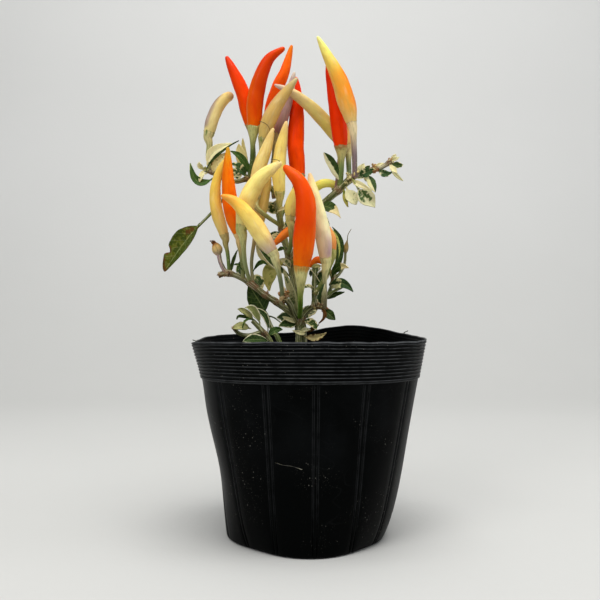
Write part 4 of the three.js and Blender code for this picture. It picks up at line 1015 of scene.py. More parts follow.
pod_pattern = straight_tube("pod_pattern", POD_SIDES, POD_RINGS)
for number, pod in enumerate(PODS):
    foot, ahead = pod.line[:2]
    line = SmoothLine([along(foot, ahead, SEAT), along(foot, ahead, 3), *pod.line[1:]])

    def girth(share, angle, spot):
        height = share * line.length / 9 + 7 * number
        where = Vector(around(1.1, angle, height))
        uneven = POD_UNEVEN * noise.noise(where) + POD_DIMPLES * noise.noise(where * 3)
        return pod_radius(pod, share, line.length) * (1 + uneven * smooth(share, 0.02, 0.14))

    def skin(share, angle, spot):
        colour = colour_along(pod.skin, share)
        here = share + 0.08 * ripple(angle, 1, share * 5 + number)
        for way, spread, low, high, *tint in pod.flanks:
            starts = smooth(here, low - 0.06, low + 0.12)
            ends = smooth(here, high - 0.12, high + 0.06)
            strength = FLANK_TINT * bump(angle, way, spread) * starts * (1 - ends)
            colour = blend_of(colour, tint, strength)
        return colour

    body = copy_of(pod_pattern, f"pod_{pod.name}_skin")
    bend(body, line, girth, skin, close_ends)
    close_up(body)
    settle(body, POD_SKINS[pod.ripeness], "pod_" + pod.ripeness, "pod_" + pod.name)
bpy.data.objects.remove(pod_pattern)

# Stalks and calyces: a ribbed green stalk for each pod, which widens into a thin cup. The cup's
# ragged border lies close on the foot of the pod, and grew in one with the stalk and the stem.
STALK_SIDES = 40
STALK_RINGS = 72
CUP_LIP = 2.0
CUP_SKIN = 0.12
CUP_AT = 0.86
CUP_FLARE = 0.62
TEETH = 5
TOOTH = 0.6
LEAST_BORDER = 0.25


def stalk_skin():
    """Stalk and calyx: fine lengthwise ribs, green streaks and brown specks."""
    material, start = new_skin("stalk_skin", fleshy(0.2, 0.08, (0.8, 0.8, 0.3)))
    place = start.kept("straight")
    ribs = cloud(stretched(place, 1.5, 1.5, 0.08), 1, 3)
    mottle = cloud(place, 0.7, 3)
    speck = spots(place, 1.3, 0.16) * between(cloud(place, 0.4, 2), 0.52, 0.62)
    green = mixed(between(ribs, 0.48, 0.66) * 0.45, start.kept("tint", 0), rgb(96, 106, 52))
    pale = mixed(between(mottle, 0.55, 0.75) * 0.35, green, rgb(220, 210, 160))
    specked = mixed(speck * 0.6, pale, rgb(110, 78, 46))
    lay(start, specked, 0.42 + 0.2 * mottle, ribs + 0.3 * mottle, 0.25)
    return material


stalk_green = stalk_skin()
stalk_pattern = straight_tube("stalk_pattern", STALK_SIDES, STALK_RINGS)
for spray in STEMS:
    stalks = []
    for pod in (pod for pod in PODS if pod.spray == spray):
        foot, ahead = pod.line[:2]
        line = SmoothLine([*pod.stalk, along(foot, ahead, -2), foot, along(foot, ahead, CUP_LIP)])
        pod_length = SmoothLine(pod.line).length
        cup = pod.girth / 2 * pod.foot
        lip_from = 1 - CUP_LIP / line.length
        phase = pod.girth * 7

        def tooth(angle):
            return max(0, math.cos(TEETH * angle + phase + 0.8 * math.sin(2 * angle))) ** 6

        def lip(angle):
            """How far the border reaches up the pod here, in millimetres."""
            reach = 0.75 + 0.55 * ripple(angle, 2.6, phase) + TOOTH * tooth(angle)
            return max(LEAST_BORDER, reach)

        def spacing(z, angle):
            if z < CUP_AT:
                return z / CUP_AT * lip_from
            return lip_from + (z - CUP_AT) / (1 - CUP_AT) * lip(angle) / line.length

        def girth(share, angle, spot):
            past = max(0, share - lip_from) * line.length
            if past > 0:
                border = 1 - past / lip(angle)
                on_pod = pod_radius(pod, max(0, past - SEAT) / pod_length, pod_length)
                return on_pod + CUP_SKIN * (0.4 + border) + 0.35 * tooth(angle) * (1 - border)
            whole = min(1, share / lip_from)
            thin = pod.stalk_radius + 0.35 * whole
            flare = max(0, (whole - CUP_FLARE) / (1 - CUP_FLARE)) ** 1.5
            ribs = 1 + 0.045 * (1 - flare) * math.cos(TEETH * angle + phase)
            root = 0.6 * math.exp(-share * line.length / 1.6)
            return (thin + root + (cup - thin) * flare) * ribs + 1.4 * CUP_SKIN * flare

        def skin(share, angle, spot):
            whole = min(1, share / lip_from)
            past = max(0, share - lip_from) * line.length
            colour = blend_of(pod.pedicel, pod.cup, smooth(whole, 0.4, 0.85))
            colour = blend_of(colour, pod.rim or pod.cup, smooth(whole, 0.93, 1.0))
            toothed = smooth(whole, 0.88, 0.98) * tooth(angle)
            colour = blend_of(colour, pod.teeth or colour, toothed)
            edge = smooth(past, lip(angle) * 0.55, lip(angle) * 0.95)
            colour = blend_of(colour, pod.edge, 0.5 * edge)
            return blend_of(colour, KNUCKLE_BROWN, 0.8 * math.exp(-share * line.length / 1.3))

        stalk = copy_of(stalk_pattern, "stalk")
        bend(stalk, line, girth, skin, spacing)
        stalks.append(stalk)
    if stalks:
        stalks = joined("stalks_" + spray, stalks)
        close_up(stalks)
        settle(stalks, stalk_green, stem_slot(spray), "stem_" + spray)
bpy.data.objects.remove(stalk_pattern)

# Leaves: thin variegated blades, dark green and cream in every share, most of them curled. Each
# grows from a node on a short stalk that runs on as its midrib.
# Each row is the midrib's foot, middle and tip, the width, the roll about the midrib in degrees,
# the look, and what is odd about the shape
LEAVES = {
    "trunk": [
        [[-2, -1, 103.5], [-3.5, -5, 102.5], [-8, -7, 104], 2.8, 10, "cream"],
        [[-2.5, -2, 101], [3.5, -6, 100.5], [9, -9, 103], 3.5, 25, "drying"],
        [[-2.5, -1.5, 109], [1.5, -6, 107.5], [4, -10, 104.5], 5.1, -20, "mixed"],
        [[-5.5, -1, 106.5], [-10.5, -4, 107], [-15, -6, 106], 5.6, 20, "edged"],
        [[-5, -1, 108], [-9.5, -4, 109], [-13, -5.5, 111], 3.1, 30, "cream"],
        [[-5, -2, 111], [-8.5, -8, 123.5], [-12.5, -12, 135], 4, -25, "grey"],
        [[-4, 2, 108], [0, 9, 113], [5.5, 16, 114.5], 6.3, 0, "mixed"],
        [[-4.5, 2, 106], [-10, 9, 110], [-16.5, 15, 110], 6.8, 0, "edged"],
        [[-3.5, 2, 104], [-4, 10, 105.5], [-1, 18, 103.5], 6.3, 0, "olive"],
        [[-2, 0, 103], [2, -3, 104.5], [5.5, -5, 107], 2, 0, "brown"],
        [[-4, -2.8, 103], [-1.6, -5, 104.2], [1.2, -5.6, 104.4], 2.4, 0, "pale"],
    ],
    "left": [
        [[-30.5, -7, 131], [-34, -9, 136], [-37, -12, 137], 2.3, 30, "green"],
        [[-39, -6, 133], [-38.5, -5, 138.5], [-36, -4, 145], 1.8, 30, "dark"],
        [[-28.5, -4, 133], [-24.5, -5, 138.5], [-20.5, -6, 137], 2.3, 35, "green"],
        [[-23.5, -4, 123], [-27, 6, 129], [-33, 12.5, 131], 6.8, 10, "mixed"],
        [[-33.5, -5, 131], [-34.5, 4, 135], [-36, 10, 139.5], 5.7, -10, "edged"],
        [[-36.5, -5, 132], [-35.5, -2, 137], [-33.5, 1, 140.5], 1.5, 0, "green"],
        [[-34.5, -5.5, 130.5], [-33.5, -2, 133.5], [-31.5, 2, 137], 1.5, 0, "dark"],
    ],
    "centre": [
        [[-8, 0, 131], [-17, -3, 137], [-25, -4, 145.5], 4.1, 20, "edged"],
        [[-9.5, 2, 137], [-21, 6, 141], [-27, 6, 149], 6.2, 0, "cream"],
        [[-9.5, 2, 140], [-19, 5, 135], [-20, 4, 124], 7.8, 0, "yellowing", {"blunt": 0.93}],
        [[-9, 0, 136], [-11, -5, 138], [-14.5, -8, 140], 4.6, 25, "grey"],
        [[-12, 0, 150], [-16, -3, 152], [-20, -5, 150], 3.1, 0, "mixed"],
        [[-11, 0, 146], [-13, -6, 145.5], [-16, -11, 143.5], 2.5, 20, "green"],
        [[-15, 1, 164], [-18, 3, 166], [-22, 4, 170], 4.7, 0, "mixed"],
        [[-13, 2, 154.5], [-9.5, 10, 158.5], [-4, 17, 160], 6.3, 10, "mixed"],
        [[-14.5, 2, 163.5], [-19, 11, 168], [-24.5, 18, 169], 6.9, -10, "edged"],
        [[-11.5, 2, 148], [-16, 10, 152], [-22.5, 16, 152.5], 6.9, 10, "mottled"],
        [[-9.3, 1.5, 136], [-5, 10, 139], [-1, 17, 138], 6.3, 0, "cream"],
        [[-16, 0, 164], [-14, -8, 165], [-10.5, -11, 165.5], 2.3, 0, "cream"],
    ],
    "upper": [
        # This cream blade takes a lit copy of the cream look: painted light
        [[-52, -1, 188.5], [-48.3, -2, 195], [-39, -3.5, 199.3], 5.6, 15, "bright_cream"],
        [[-52.5, 0, 187], [-45.5, -3.8, 193.9], [-35.3, -4.4, 200.6], 1.4, 0, "dark"],
        [[-50, 1, 184.5], [-46, -2, 189.5], [-42, -3, 194.5], 6, -10, "drying"],
        [[-48, 0, 183], [-56, -4, 179.5], [-60, -5, 189], 4.6, 15, "green"],
        [[-53.5, 0.5, 186.5], [-54.5, -3, 183], [-55.5, -4, 179.5], 2.6, 0, "cream"],
        [[-30, 1, 182.5], [-33.5, -1, 191], [-40, -3, 195.5], 4.1, 15, "green"],
        [[-31.5, 1, 182], [-34.5, 3, 193], [-36, 4, 200.5], 5.7, 0, "tan"],
        [[-31.5, 0.5, 182], [-35, -3, 186.5], [-39.5, -6, 188.5], 5, 20, "mottled"],
        [[-30, 1.5, 183], [-33, 4, 196], [-34, 4, 203.5], 2.1, 0, "tan"],
        [[-35.5, 1.5, 181], [-38, 9, 185.5], [-43.5, 15, 188], 6.3, 10, "mixed"],
        [[-44.5, 1.5, 182.5], [-47.5, 9, 180.5], [-51, 14, 178], 5.8, -10, "edged"],
        [[-29, 1.5, 181.5], [-27.5, 9, 186], [-28, 15, 191], 6.3, 0, "olive"],
        [[-54.4, -2.7, 159.2], [-63.3, -4.4, 148], [-73, -6, 133.8], 10, 8, "spoilt",
         {"left": 0.68, "right": 1.28, "notch": 0.72, "blunt": 0.9, "scorched": [(0.26, 0.3, 0.1),
         (0.93, 0.7, 0.07), (0.98, -0.1, 0.05), (0.72, 0.9, 0.05)]}],
        [[-53.5, 0.5, 186.5], [-55.5, -2, 188], [-55.5, -3, 190], 2.6, 0, "cream"],
    ],
    "right": [
        [[18.5, 2, 179], [12.5, 0, 188], [8, -4, 194.5], 6.1, 15, "mostly_cream"],
        [[25, 0.5, 183], [27, 1, 186.5], [29, 2, 190], 4.1, 0, "cream"],
        [[26, 0, 183.3], [29.6, -3, 184.6], [33.8, -3.6, 185.8], 4.6, 25, "mottled"],
        [[30.5, 0, 184], [32.2, -4, 179], [34, -6, 174], 4.4, 0, "halved"],
        [[25, -5, 176.6], [29.2, -7, 171], [33.4, -9, 166], 8.6, 0, "blotched"],
        [[19.5, 1.5, 178], [22.3, -3, 171.6], [24.6, -4, 168.2], 6.2, 0, "pale"],
        [[18.5, 2, 178], [19, -0.5, 171.5], [20.5, -2, 167], 2.3, 0, "olive"],
        [[22, 0.5, 181], [26, -6, 178], [32, -9, 174.5], 3, 20, "cream"],
        [[42, 0, 190], [45.5, -2, 188.5], [48.5, -3, 188.5], 3.3, 15, "mixed"],
        [[41.5, 0, 190], [43.5, -3, 186], [45, -5, 184], 2.8, 0, "cream"],
        [[36, 0, 187], [39, -3, 184], [42.5, -5, 184.5], 3.6, 20, "mottled"],
        [[42, 0.5, 190], [45, 1.5, 184.5], [49, 1, 181], 2.3, 0, "cream"],
        [[42.5, 0, 190.5], [44, 0, 192.5], [45, 0, 194.5], 2.6, 0, "cream"],
        [[5.5, 3.5, 166.5], [10.5, 0, 167], [16.5, -2, 161.5], 6.2, -15, "cream_tip"],
        [[13.5, 4, 175.6], [14.5, 12, 177.5], [17, 17, 178.5], 5.5, 10, "mixed"],
        [[23, 1.5, 182.5], [28, 10, 186], [33, 14, 191], 6.3, 10, "edged"],
        [[5, 5, 166], [7.5, 13, 161], [11, 16, 154.5], 6.9, 0, "mottled"],
        [[31.5, 0.5, 185.5], [31.5, 8, 185], [31, 13, 182.5], 5.8, 0, "mixed"],
        [[42.5, 0, 190.5], [44.5, -2, 191.5], [46.5, -2, 192.5], 1.8, 0, "cream"],
        [[34, 0, 186.5], [36.5, 1, 189], [39.5, 2, 190], 1.8, 0, "cream"],
    ],
    "lower_right": [
        [[13.5, -1, 137], [14.6, -2.8, 148], [9.5, -2.2, 157.5], 3.3, 30, "lime"],
        [[12.8, -1, 130], [16, -1.5, 145.5], [12.5, 0, 157], 4.8, 35, "dark"],
        [[12, -1.5, 130], [15, -5, 136], [20.5, -7, 135.5], 4.1, 20, "cream_tip"],
        [[10.5, -2, 123.5], [16, -7, 128], [22.5, -10, 123.5], 5.1, 15, "dart"],
        [[9, -3, 119.5], [13, -3, 122], [18.5, -4, 123.5], 2.6, 30, "dark"],
        [[6.5, -6, 117.5], [6.4, -15.5, 121.6], [7.9, -17.5, 127.7], 3.8, 20, "halved"],
        [[3.2, -5, 134.3], [3.4, -6.6, 136.2], [6.6, -8, 136.6], 2.8, 0, "pale_olive"],
        [[8, -5, 114.5], [10.5, -8, 112], [13.5, -10, 109.5], 5, 0, "dark"],
        [[6, -4.5, 115.5], [8.4, -9, 111.8], [5.2, -9.5, 107.6], 2, 20, "brown"],
        [[3, -5, 124], [0.5, -10, 126], [-2, -14, 125.5], 2.8, 20, "mixed"],
        [[6, -3.5, 117], [6, 5, 120.5], [5, 13, 123], 6.3, 0, "mixed"],
        [[3, -4, 126], [7, 3, 131], [11.5, 9, 136], 6.2, 0, "edged"],
        [[3.4, -5, 133.5], [3.5, 4, 134], [1.5, 11, 132.5], 6.2, 0, "mottled"],
    ],
    "front_shoot": [
        [[-27, -14, 109.3], [-31, -17, 113.2], [-34.7, -19, 115], 3.2, 10, "pale_olive"],
        [[-23.9, -13, 107], [-27, -15, 113.7], [-31.1, -18, 115.6], 4.6, 15, "white_rim"],
        [[-20.3, -12.3, 103], [-22, -12.5, 111.7], [-29.5, -14, 115.4], 3, 10, "edged"],
        [[-27.3, -14.5, 109.4], [-33.3, -17, 111.4], [-35.2, -18, 109.8], 1.6, 0, "dark"],
        [[-28.5, -14.5, 105.1], [-33.3, -17.6, 106.3], [-37.2, -18, 105.2], 4.5, 15, "pale_olive"],
        [[-26.8, -15.6, 109.4], [-30.6, -18.4, 109.6], [-32.4, -19, 105.6], 1.1, 0, "green"],
        [[-19, -12, 98.5], [-26, -19, 100], [-32, -23, 99], 5.4, 10, "edged"],
        [[-20.5, -12, 101], [-17, -11, 104], [-13, -10, 104.5], 3.6, 0, "green"],
    ],
    "rear_shoot": [
        [[-21.6, -1.8, 112.5], [-25.5, 1, 119], [-31, 2.5, 127.5], 11.3, 0, "dark"],
    ],
}
# Looks of a blade: its green and its pale colour, how much of it is pale, how pale its border, one
# half and its tip are against the rest (on the spoilt leaf the paler half is painted sheen on its
# upper fold), and how far it has dried brown
LOOKS = {
    "dark": ((34, 54, 16), (104, 118, 60), 0.08, 0.0, 0, 0, 0),
    "green": ((52, 82, 32), (156, 166, 98), 0.18, 0.2, 0, 0, 0),
    "olive": ((104, 112, 40), (168, 158, 74), 0.55, 0, 0.1, 0, 0.05),
    "yellowing": ((172, 168, 86), (202, 194, 116), 0.6, 0, 0, 0, 0.04),
    # The spoilt leaf's upper half is painted paler: painted sheen on its fold
    "spoilt": ((52, 62, 2), (80, 86, 10), 0.4, -0.2, 0.3, 0, 0.34),
    "lime": ((100, 116, 36), (184, 190, 98), 0.75, 0.3, 0, 0, 0),
    "edged": ((42, 66, 30), (226, 220, 180), 0.1, 0.75, 0, 0, 0),
    "mixed": ((46, 70, 30), (222, 212, 160), 0.4, 0.25, 0.1, 0, 0),
    "mottled": ((44, 76, 44), (218, 214, 170), 0.34, 0.1, 0, 0, 0),
    "mostly_cream": ((38, 60, 24), (220, 212, 168), 0.56, 0, -0.9, 0, 0),
    "halved": ((50, 74, 38), (214, 206, 156), 0.45, 0, 0.9, 0, 0),
    "blotched": ((48, 74, 30), (192, 188, 148), 0.42, 0.45, 0, 0.3, 0),
    "pale": ((76, 106, 60), (212, 208, 164), 0.66, 0.2, 0, 0, 0),
    # A lit copy of the cream look: painted light on a blade that faces down into shade
    "bright_cream": ((196, 196, 136), (252, 240, 184), 0.9, 0.1, 0, 0, 0),
    "cream": ((140, 148, 84), (220, 212, 162), 0.82, 0.25, 0, 0, 0.08),
    "tan": ((140, 140, 80), (208, 192, 130), 0.85, 0.1, 0, 0, 0.15),
    "grey": ((94, 108, 72), (196, 190, 142), 0.55, 0.35, 0, 0, 0),
    "cream_tip": ((40, 62, 18), (224, 206, 152), 0.08, 0, 0.1, 1.4, 0),
    "dart": ((42, 70, 40), (206, 202, 152), 0.5, -0.1, 0.2, -1.2, 0),
    "pale_olive": ((116, 122, 66), (166, 164, 106), 0.75, -0.3, 0, 0, 0),
    "white_rim": ((146, 150, 92), (232, 226, 190), 0.12, 0.8, 0, 0, 0),
    "drying": ((170, 150, 86), (226, 206, 144), 0.8, 0, 0, 0, 0.5),
    "brown": ((128, 70, 34), (166, 100, 50), 0.5, 0, 0, 0, 1.0),
}
BLADE = 0.34
BLADE_START = 0.1
BLADE_COLUMNS = 12
BLADE_ROWS = 26
RIB_SIDES = 6
RIB_RINGS = 20
RIB_END = 0.94
VEINS = 7
VEIN_SLANT = 0.16
# Blades wider than this wave more at their border
BROAD = 6
# How much longer an arched midrib is than the straight way from foot to tip
ARCHED = 1.08
# How far apart the leaves lie in the pattern of their skin
APART = (31, 17)


def leaf_skin():
    """A variegated blade: pale and green fields with ragged borders, veins, and dried patches."""
    material, start = new_skin("leaf_skin", fleshy(0.1, 0.08, (0.6, 0.9, 0.2)))
    place = start.kept("straight")
    green, pale = start.kept("green", 0), start.kept("pale", 0)
    shares = start.kept("shares")
    share, dried, lengthwise = (shares.part(k) for k in range(3))
    across = start.kept("across").part(0)
    patches = cloud(place, 0.33, 4, 0.6)
    field = (patches - 0.5) * 3.2 + share * 2 - 1
    cream = between(field, -0.13, 0.13)
    rows = start.maths("FRACT", (lengthwise - across * VEIN_SLANT) * VEINS)
    veins = between(abs(rows - 0.5), 0.42, 0.5)
    midrib = 1 - between(across, 0.02, 0.09)
    shade = cloud(place, 0.9, 4)
    deep_green = mixed(between(shade, 0.35, 0.75) * 0.3, green, rgb(104, 124, 58))
    warm_pale = mixed(between(shade, 0.4, 0.8) * 0.2, pale, rgb(190, 190, 120))
    blade = mixed(cream, deep_green, warm_pale)
    vein_colour = mixed(cream, rgb(140, 152, 90), rgb(196, 190, 130))
    veined = mixed((veins * 0.25 + midrib * 0.5) * (1 - cream * 0.4), blade, vein_colour)
    patchy = between(cloud(place, 0.5, 4, 0.65) + dried * 0.62 - 0.18, 0.62, 0.72)
    scorched = mixed(patchy, veined, mixed(shade, rgb(60, 38, 14), rgb(112, 72, 28)))
    specks = spots(place, 1.1, 0.14) * between(patches, 0.5, 0.6)
    specked = mixed(specks * 0.4, scorched, rgb(96, 84, 44))
    relief = 0.6 * shade + 0.5 * veins + patchy * 0.5
    lay(start, specked, 0.4 + 0.2 * shade + 0.25 * patchy, relief, 0.16)
    return material


variegated = leaf_skin()
pick()
bpy.ops.mesh.primitive_grid_add(x_subdivisions=BLADE_COLUMNS, y_subdivisions=BLADE_ROWS, size=2)
blade_pattern = bpy.context.object
rib_pattern = straight_tube("rib_pattern", RIB_SIDES, RIB_RINGS)


def leaf_rib(foot, middle, tip, roll):
    """Spot, right side and upper side at a share of the midrib."""
    foot, middle, tip = Vector(foot), Vector(middle), Vector(tip)
    bend_point = 2 * middle - (foot + tip) / 2

    def at(share):
        spot = foot * (1 - share) ** 2 + bend_point * 2 * share * (1 - share) + tip * share**2
        run = ((bend_point - foot) * (1 - share) + (tip - bend_point) * share).normalized()
        front = Vector((0, -1, 0.25))
        out = (front - run * front.dot(run)).normalized()
        out = Matrix.Rotation(math.radians(roll), 3, run) @ out
        return spot, run.cross(out), out

    return at


def half_width(u, share, width, seed, odd):
    """From the midrib to the border of a blade. odd may say how wide each half is against the
    rest, where the border is notched, and how blunt the tip is."""
    inside = max(0, (share - BLADE_START) / (1 - BLADE_START))
    half = 0.05
    if inside > 0 and (inside < 1 or "blunt" in odd):
        full = math.sin(math.pi * odd.get("blunt", 1) * inside**0.85) ** 0.85
        ragged = 1 + 0.07 * noise.noise(Vector((share * 6, u, seed)))
        half = max(half, full * width / 2 * ragged * odd.get("left" if u < 0 else "right", 1))
    if "notch" in odd and u > 0:
        half *= 1 - 0.45 * bell(share - odd["notch"], 0.05)
    return half


def make_blade(row, seed):
    """One blade from a row of the list."""
    foot, middle, tip, width, roll, look, *odd = row
    odd = odd[0] if odd else {}
    green, pale, share_pale, border, half_pale_and_sheen, tip_pale, dried = LOOKS[look]
    at = leaf_rib(foot, middle, tip, roll)
    length = (Vector(tip) - Vector(foot)).length * ARCHED
    wave = 0.55 if width > BROAD else 0.25
    blade = copy_of(blade_pattern, "blade")
    straight, shares, across = [], [], []
    for vertex in blade.data.vertices:
        u, share = vertex.co.x, (vertex.co.y + 1) / 2
        side = abs(u)
        rounded = 0.08 * u * u * smooth(share, 0.75, 1) if "blunt" in odd else 0
        spot, right, out = at(share - rounded)
        half = half_width(u, share, width, seed, odd)
        lift = side * half * 0.35 + u * u * wave * math.sin(9 * share + 2 * u + seed)
        lift += 0.16 * half / 3 * abs(math.sin(VEINS * math.pi * (share - side * VEIN_SLANT)))
        lift += 0.12 * half * noise.noise(Vector((u * 1.4, share * 4, seed + 5)))
        vertex.co = (spot + right * u * half + out * lift) * MM
        straight.append((u * half + APART[0] * seed, share * length, APART[1] * seed))
        pale_here = share_pale + border * smooth(side, 0.62, 0.95)
        pale_here += half_pale_and_sheen * math.copysign(0.5, u) * smooth(side, 0, 0.12)
        pale_here += tip_pale * smooth(share, 0.55, 0.85)
        dry_here = dried * (0.75 + 0.5 * smooth(side, 0.7, 1))
        for near, out_from, reach in odd.get("scorched", []):
            dry_here += 0.45 * bell(share - near, reach) * bell(u - out_from, 0.45)
        shares.append((pale_here, dry_here, share))
        across.append((side, 0, 0))
    keep_look(blade, look, straight, shares, across)
    return blade


def make_rib(row, seed):
    """The stalk and midrib of a blade."""
    foot, middle, tip, width, roll, look, *_ = row
    at = leaf_rib(foot, middle, tip, roll)
    length = (Vector(tip) - Vector(foot)).length * ARCHED
    share_pale, dried = LOOKS[look][2], LOOKS[look][6]
    rib = copy_of(rib_pattern, "rib")
    straight, shares = [], []
    for vertex in rib.data.vertices:
        share = vertex.co.z * RIB_END
        angle = math.atan2(vertex.co.y, vertex.co.x)
        spot, right, out = at(share)
        r = 0 if vertex.co.z in (0, 1) else 0.14 + min(0.75, width * 0.07) * (1 - share) ** 1.3
        aside = r * math.cos(angle)
        vertex.co = (spot + right * aside + out * (r * 0.8 * math.sin(angle) - 0.1)) * MM
        straight.append((aside + APART[0] * seed, share * length, APART[1] * seed))
        shares.append((0.25 + share_pale * 0.6, dried * 0.5, share))
    keep_look(rib, look, straight, shares, [(0.3, 0, 0)] * len(shares))
    return rib


def keep_look(part, look, straight, shares, across):
    """Keeps on a blade or a rib what the leaf's skin reads."""
    green, pale = ([(*rgb(*colour), 1)] * len(shares) for colour in LOOKS[look][:2])
    kept = {"straight": straight, "shares": shares, "across": across, "green": green, "pale": pale}
    for name, values in kept.items():
        write(part, name, values)


for spray, rows in LEAVES.items():
    seeds = [index * 1.37 + len(spray) for index in range(len(rows))]
    blades = joined("blades", [make_blade(row, seed) for row, seed in zip(rows, seeds)])
    apply(blades, "SOLIDIFY", thickness=BLADE * MM, offset=0)
    ribs = joined("ribs", [make_rib(row, seed) for row, seed in zip(rows, seeds)])
    close_up(ribs)
    leaves = joined("leaves_" + spray, [ribs, blades])
    settle(leaves, variegated, "leaf", "stem_" + spray)
for pattern in (blade_pattern, rib_pattern):
    bpy.data.objects.remove(pattern)

# Buds and dried bits: two withered flower buds on their stalks, small cream buds and brown scales
# at the nodes, and dried threads and thin stalks that hang on at tips and forks.
# Spray, line, radius, and colours along the length
BUDS = [
    ("left", [[-45.5, -6, 141.5], [-46.3, -6, 145.2], [-48.2, -6, 149.4]], 2.7,
     [(0, 176, 150, 140), (0.35, 198, 172, 118), (0.62, 202, 164, 96), (0.82, 150, 84, 34),
     (1, 116, 60, 26)]),
    ("lower_right", [[19.2, 2, 143], [19.6, 2, 147], [20.3, 2, 150.5]], 1.4, [(0, 150, 130, 84),
     (0.5, 170, 136, 76), (1, 120, 96, 56)]),
]
# Spray, line, radius and colour
THREADS = [
    ("lower_right", [[20.3, 2, 150], [20.6, 2, 153], [22.4, 2, 156.3]], 0.22, (110, 100, 70)),
    ("upper", [[-24.8, -8, 209.6], [-22.2, -8.6, 208.6], [-20.1, -8.8, 206.8],
     [-19.2, -8.6, 204.4]], 0.16, (70, 52, 36)),
    ("left", [[-13.2, -22, 186.3], [-15, -23.5, 187.2], [-18.5, -23.5, 187.6]], 0.16,
     (84, 62, 40)),
    ("lower_right", [[0.4, -5.6, 135.6], [3.2, -6.6, 132.6], [5.9, -6, 128.5]], 0.3,
     (206, 200, 160)),
    ("rear_shoot", [[-20.2, -1.4, 111.2], [-17.6, -2, 110.4], [-14, -2.6, 107.8]], 0.42,
     (74, 84, 44)),
    ("right", [[22.3, 0, 182], [23.6, -4, 179.4], [25.2, -5.4, 175.6]], 0.45, (146, 150, 84)),
    ("centre", [[-17.6, -9, 205.8], [-16.8, -10, 203], [-16.9, -9.8, 199.5]], 0.16, (96, 72, 46)),
]
# Clusters of scales and buds at the nodes: spray, place, reach, count, and colours
CLUSTERS = [
    ("trunk", [-12.5, -10.8, 121.6], 3.1, 36, [(160, 114, 72), (204, 172, 122), (118, 82, 50),
     (224, 206, 160)]),
    ("trunk", [-5, -2, 110], 2.2, 8, [(128, 96, 76), (164, 150, 104)]),
    ("left", [-41, -7, 132.8], 1.8, 10, [(112, 82, 62), (142, 104, 76), (84, 62, 44)]),
    ("left", [-45.8, -6, 132], 0.9, 5, [(70, 48, 34), (110, 78, 54)]),
    ("left", [-47.7, -7.2, 148.6], 1.5, 9, [(128, 72, 32), (150, 92, 44), (88, 54, 32)]),
    ("left", [-30, -7, 128.5], 1.6, 9, [(142, 108, 70), (120, 86, 60)]),
    ("left", [-21, -6, 123.6], 1.2, 6, [(140, 106, 84), (164, 128, 98)]),
    ("centre", [-9.2, -0.5, 139], 1.5, 7, [(140, 110, 70), (176, 156, 104)]),
    ("centre", [-13.5, -0.5, 156.5], 1.7, 8, [(140, 110, 70), (196, 184, 130)]),
    ("upper", [-30.5, -0.4, 181.8], 1.9, 10, [(112, 92, 60), (186, 168, 110), (132, 108, 66)]),
    ("upper", [-52.5, -0.5, 186.4], 1.9, 9, [(150, 150, 92), (214, 206, 152), (110, 116, 62)]),
    ("right", [23.5, -0.4, 183.4], 2.3, 12, [(232, 222, 160), (150, 110, 62), (214, 196, 128)]),
    ("right", [34.4, -2.4, 186.2], 2.4, 18, [(146, 98, 60), (222, 212, 150), (176, 132, 84)]),
    ("right", [42.4, -0.6, 191], 1.8, 10, [(150, 104, 66), (232, 226, 176), (176, 140, 92)]),
    ("right", [20, -0.5, 180], 1.3, 5, [(214, 200, 140), (168, 136, 84)]),
    ("right", [21.6, -1.2, 182.8], 1.8, 9, [(228, 216, 158), (214, 200, 144)]),
    ("right", [20.4, 0.4, 184.4], 1.3, 6, [(150, 110, 62), (222, 208, 150)]),
    ("right", [43.6, -0.8, 192], 1.3, 6, [(228, 222, 176), (214, 200, 150)]),
    ("lower_right", [4, -4.6, 105.8], 1.1, 6, [(150, 74, 42), (120, 64, 40)]),
    ("right", [16, 2, 176.5], 1.3, 5, [(96, 100, 52), (140, 126, 76)]),
    ("lower_right", [5.5, -5, 116.5], 1.9, 9, [(150, 118, 76), (196, 176, 116)]),
    ("lower_right", [8.5, -6, 113.8], 1.5, 8, [(160, 84, 42), (124, 66, 36)]),
    ("lower_right", [3.6, -9, 124], 1.1, 5, [(214, 206, 160), (168, 150, 104)]),
    ("lower_right", [13, -2, 129.5], 1.0, 5, [(182, 172, 124), (120, 110, 66)]),
    ("front_shoot", [-36.9, -17, 106], 1.1, 6, [(176, 144, 100), (188, 152, 124)]),
    ("front_shoot", [-22.5, -13.2, 103], 1.1, 4, [(120, 110, 66), (150, 136, 84)]),
]
BUD_SIDES = 16
THREAD_SIDES = 6
THREAD_RINGS = 24
BIT_SPREAD = 0.42
# Least and most length, width and thickness of a bit, as shares of its cluster's reach
BIT_LONG = (0.8, 1.9)
BIT_WIDE = (1.0, 1.9)
BIT_THICK = (0.8, 1.6)


def hang_thread(pattern, name, points, radius, colour):
    """A thin thread through these points."""
    made = copy_of(pattern, name)
    bend(made, SmoothLine(points), radius, colour)
    return made


def scatter_bits(shapes, centre, reach, count, colours):
    """Scales and small buds, turned at random about a node."""
    bits = []
    for k in range(count):
        made = copy_of(shapes[k % len(shapes)], "bit")
        away = Vector([random.gauss(0, BIT_SPREAD) for _ in range(3)])
        long, wide, thick = (random.uniform(*span) for span in (BIT_LONG, BIT_WIDE, BIT_THICK))
        size = Vector((wide * reach * 0.5, thick * reach * 0.5, long * reach * 0.75))
        axis_turn = random.uniform(0, TURN)
        turn = Matrix.Rotation(axis_turn, 3, Vector((random.random(), random.random(), 0.3)))
        colour = rgb(*random.choice(colours))
        straight = []
        for vertex in made.data.vertices:
            spot = vertex.co * size
            straight.append(tuple(spot / MM + Vector((k * 9, reach * 50, 0))))
            vertex.co = turn @ spot + (Vector(centre) + away * reach) * MM
        write(made, "straight", straight)
        write(made, "tint", [(*colour, 1)] * len(straight))
        bits.append(made)
    return bits


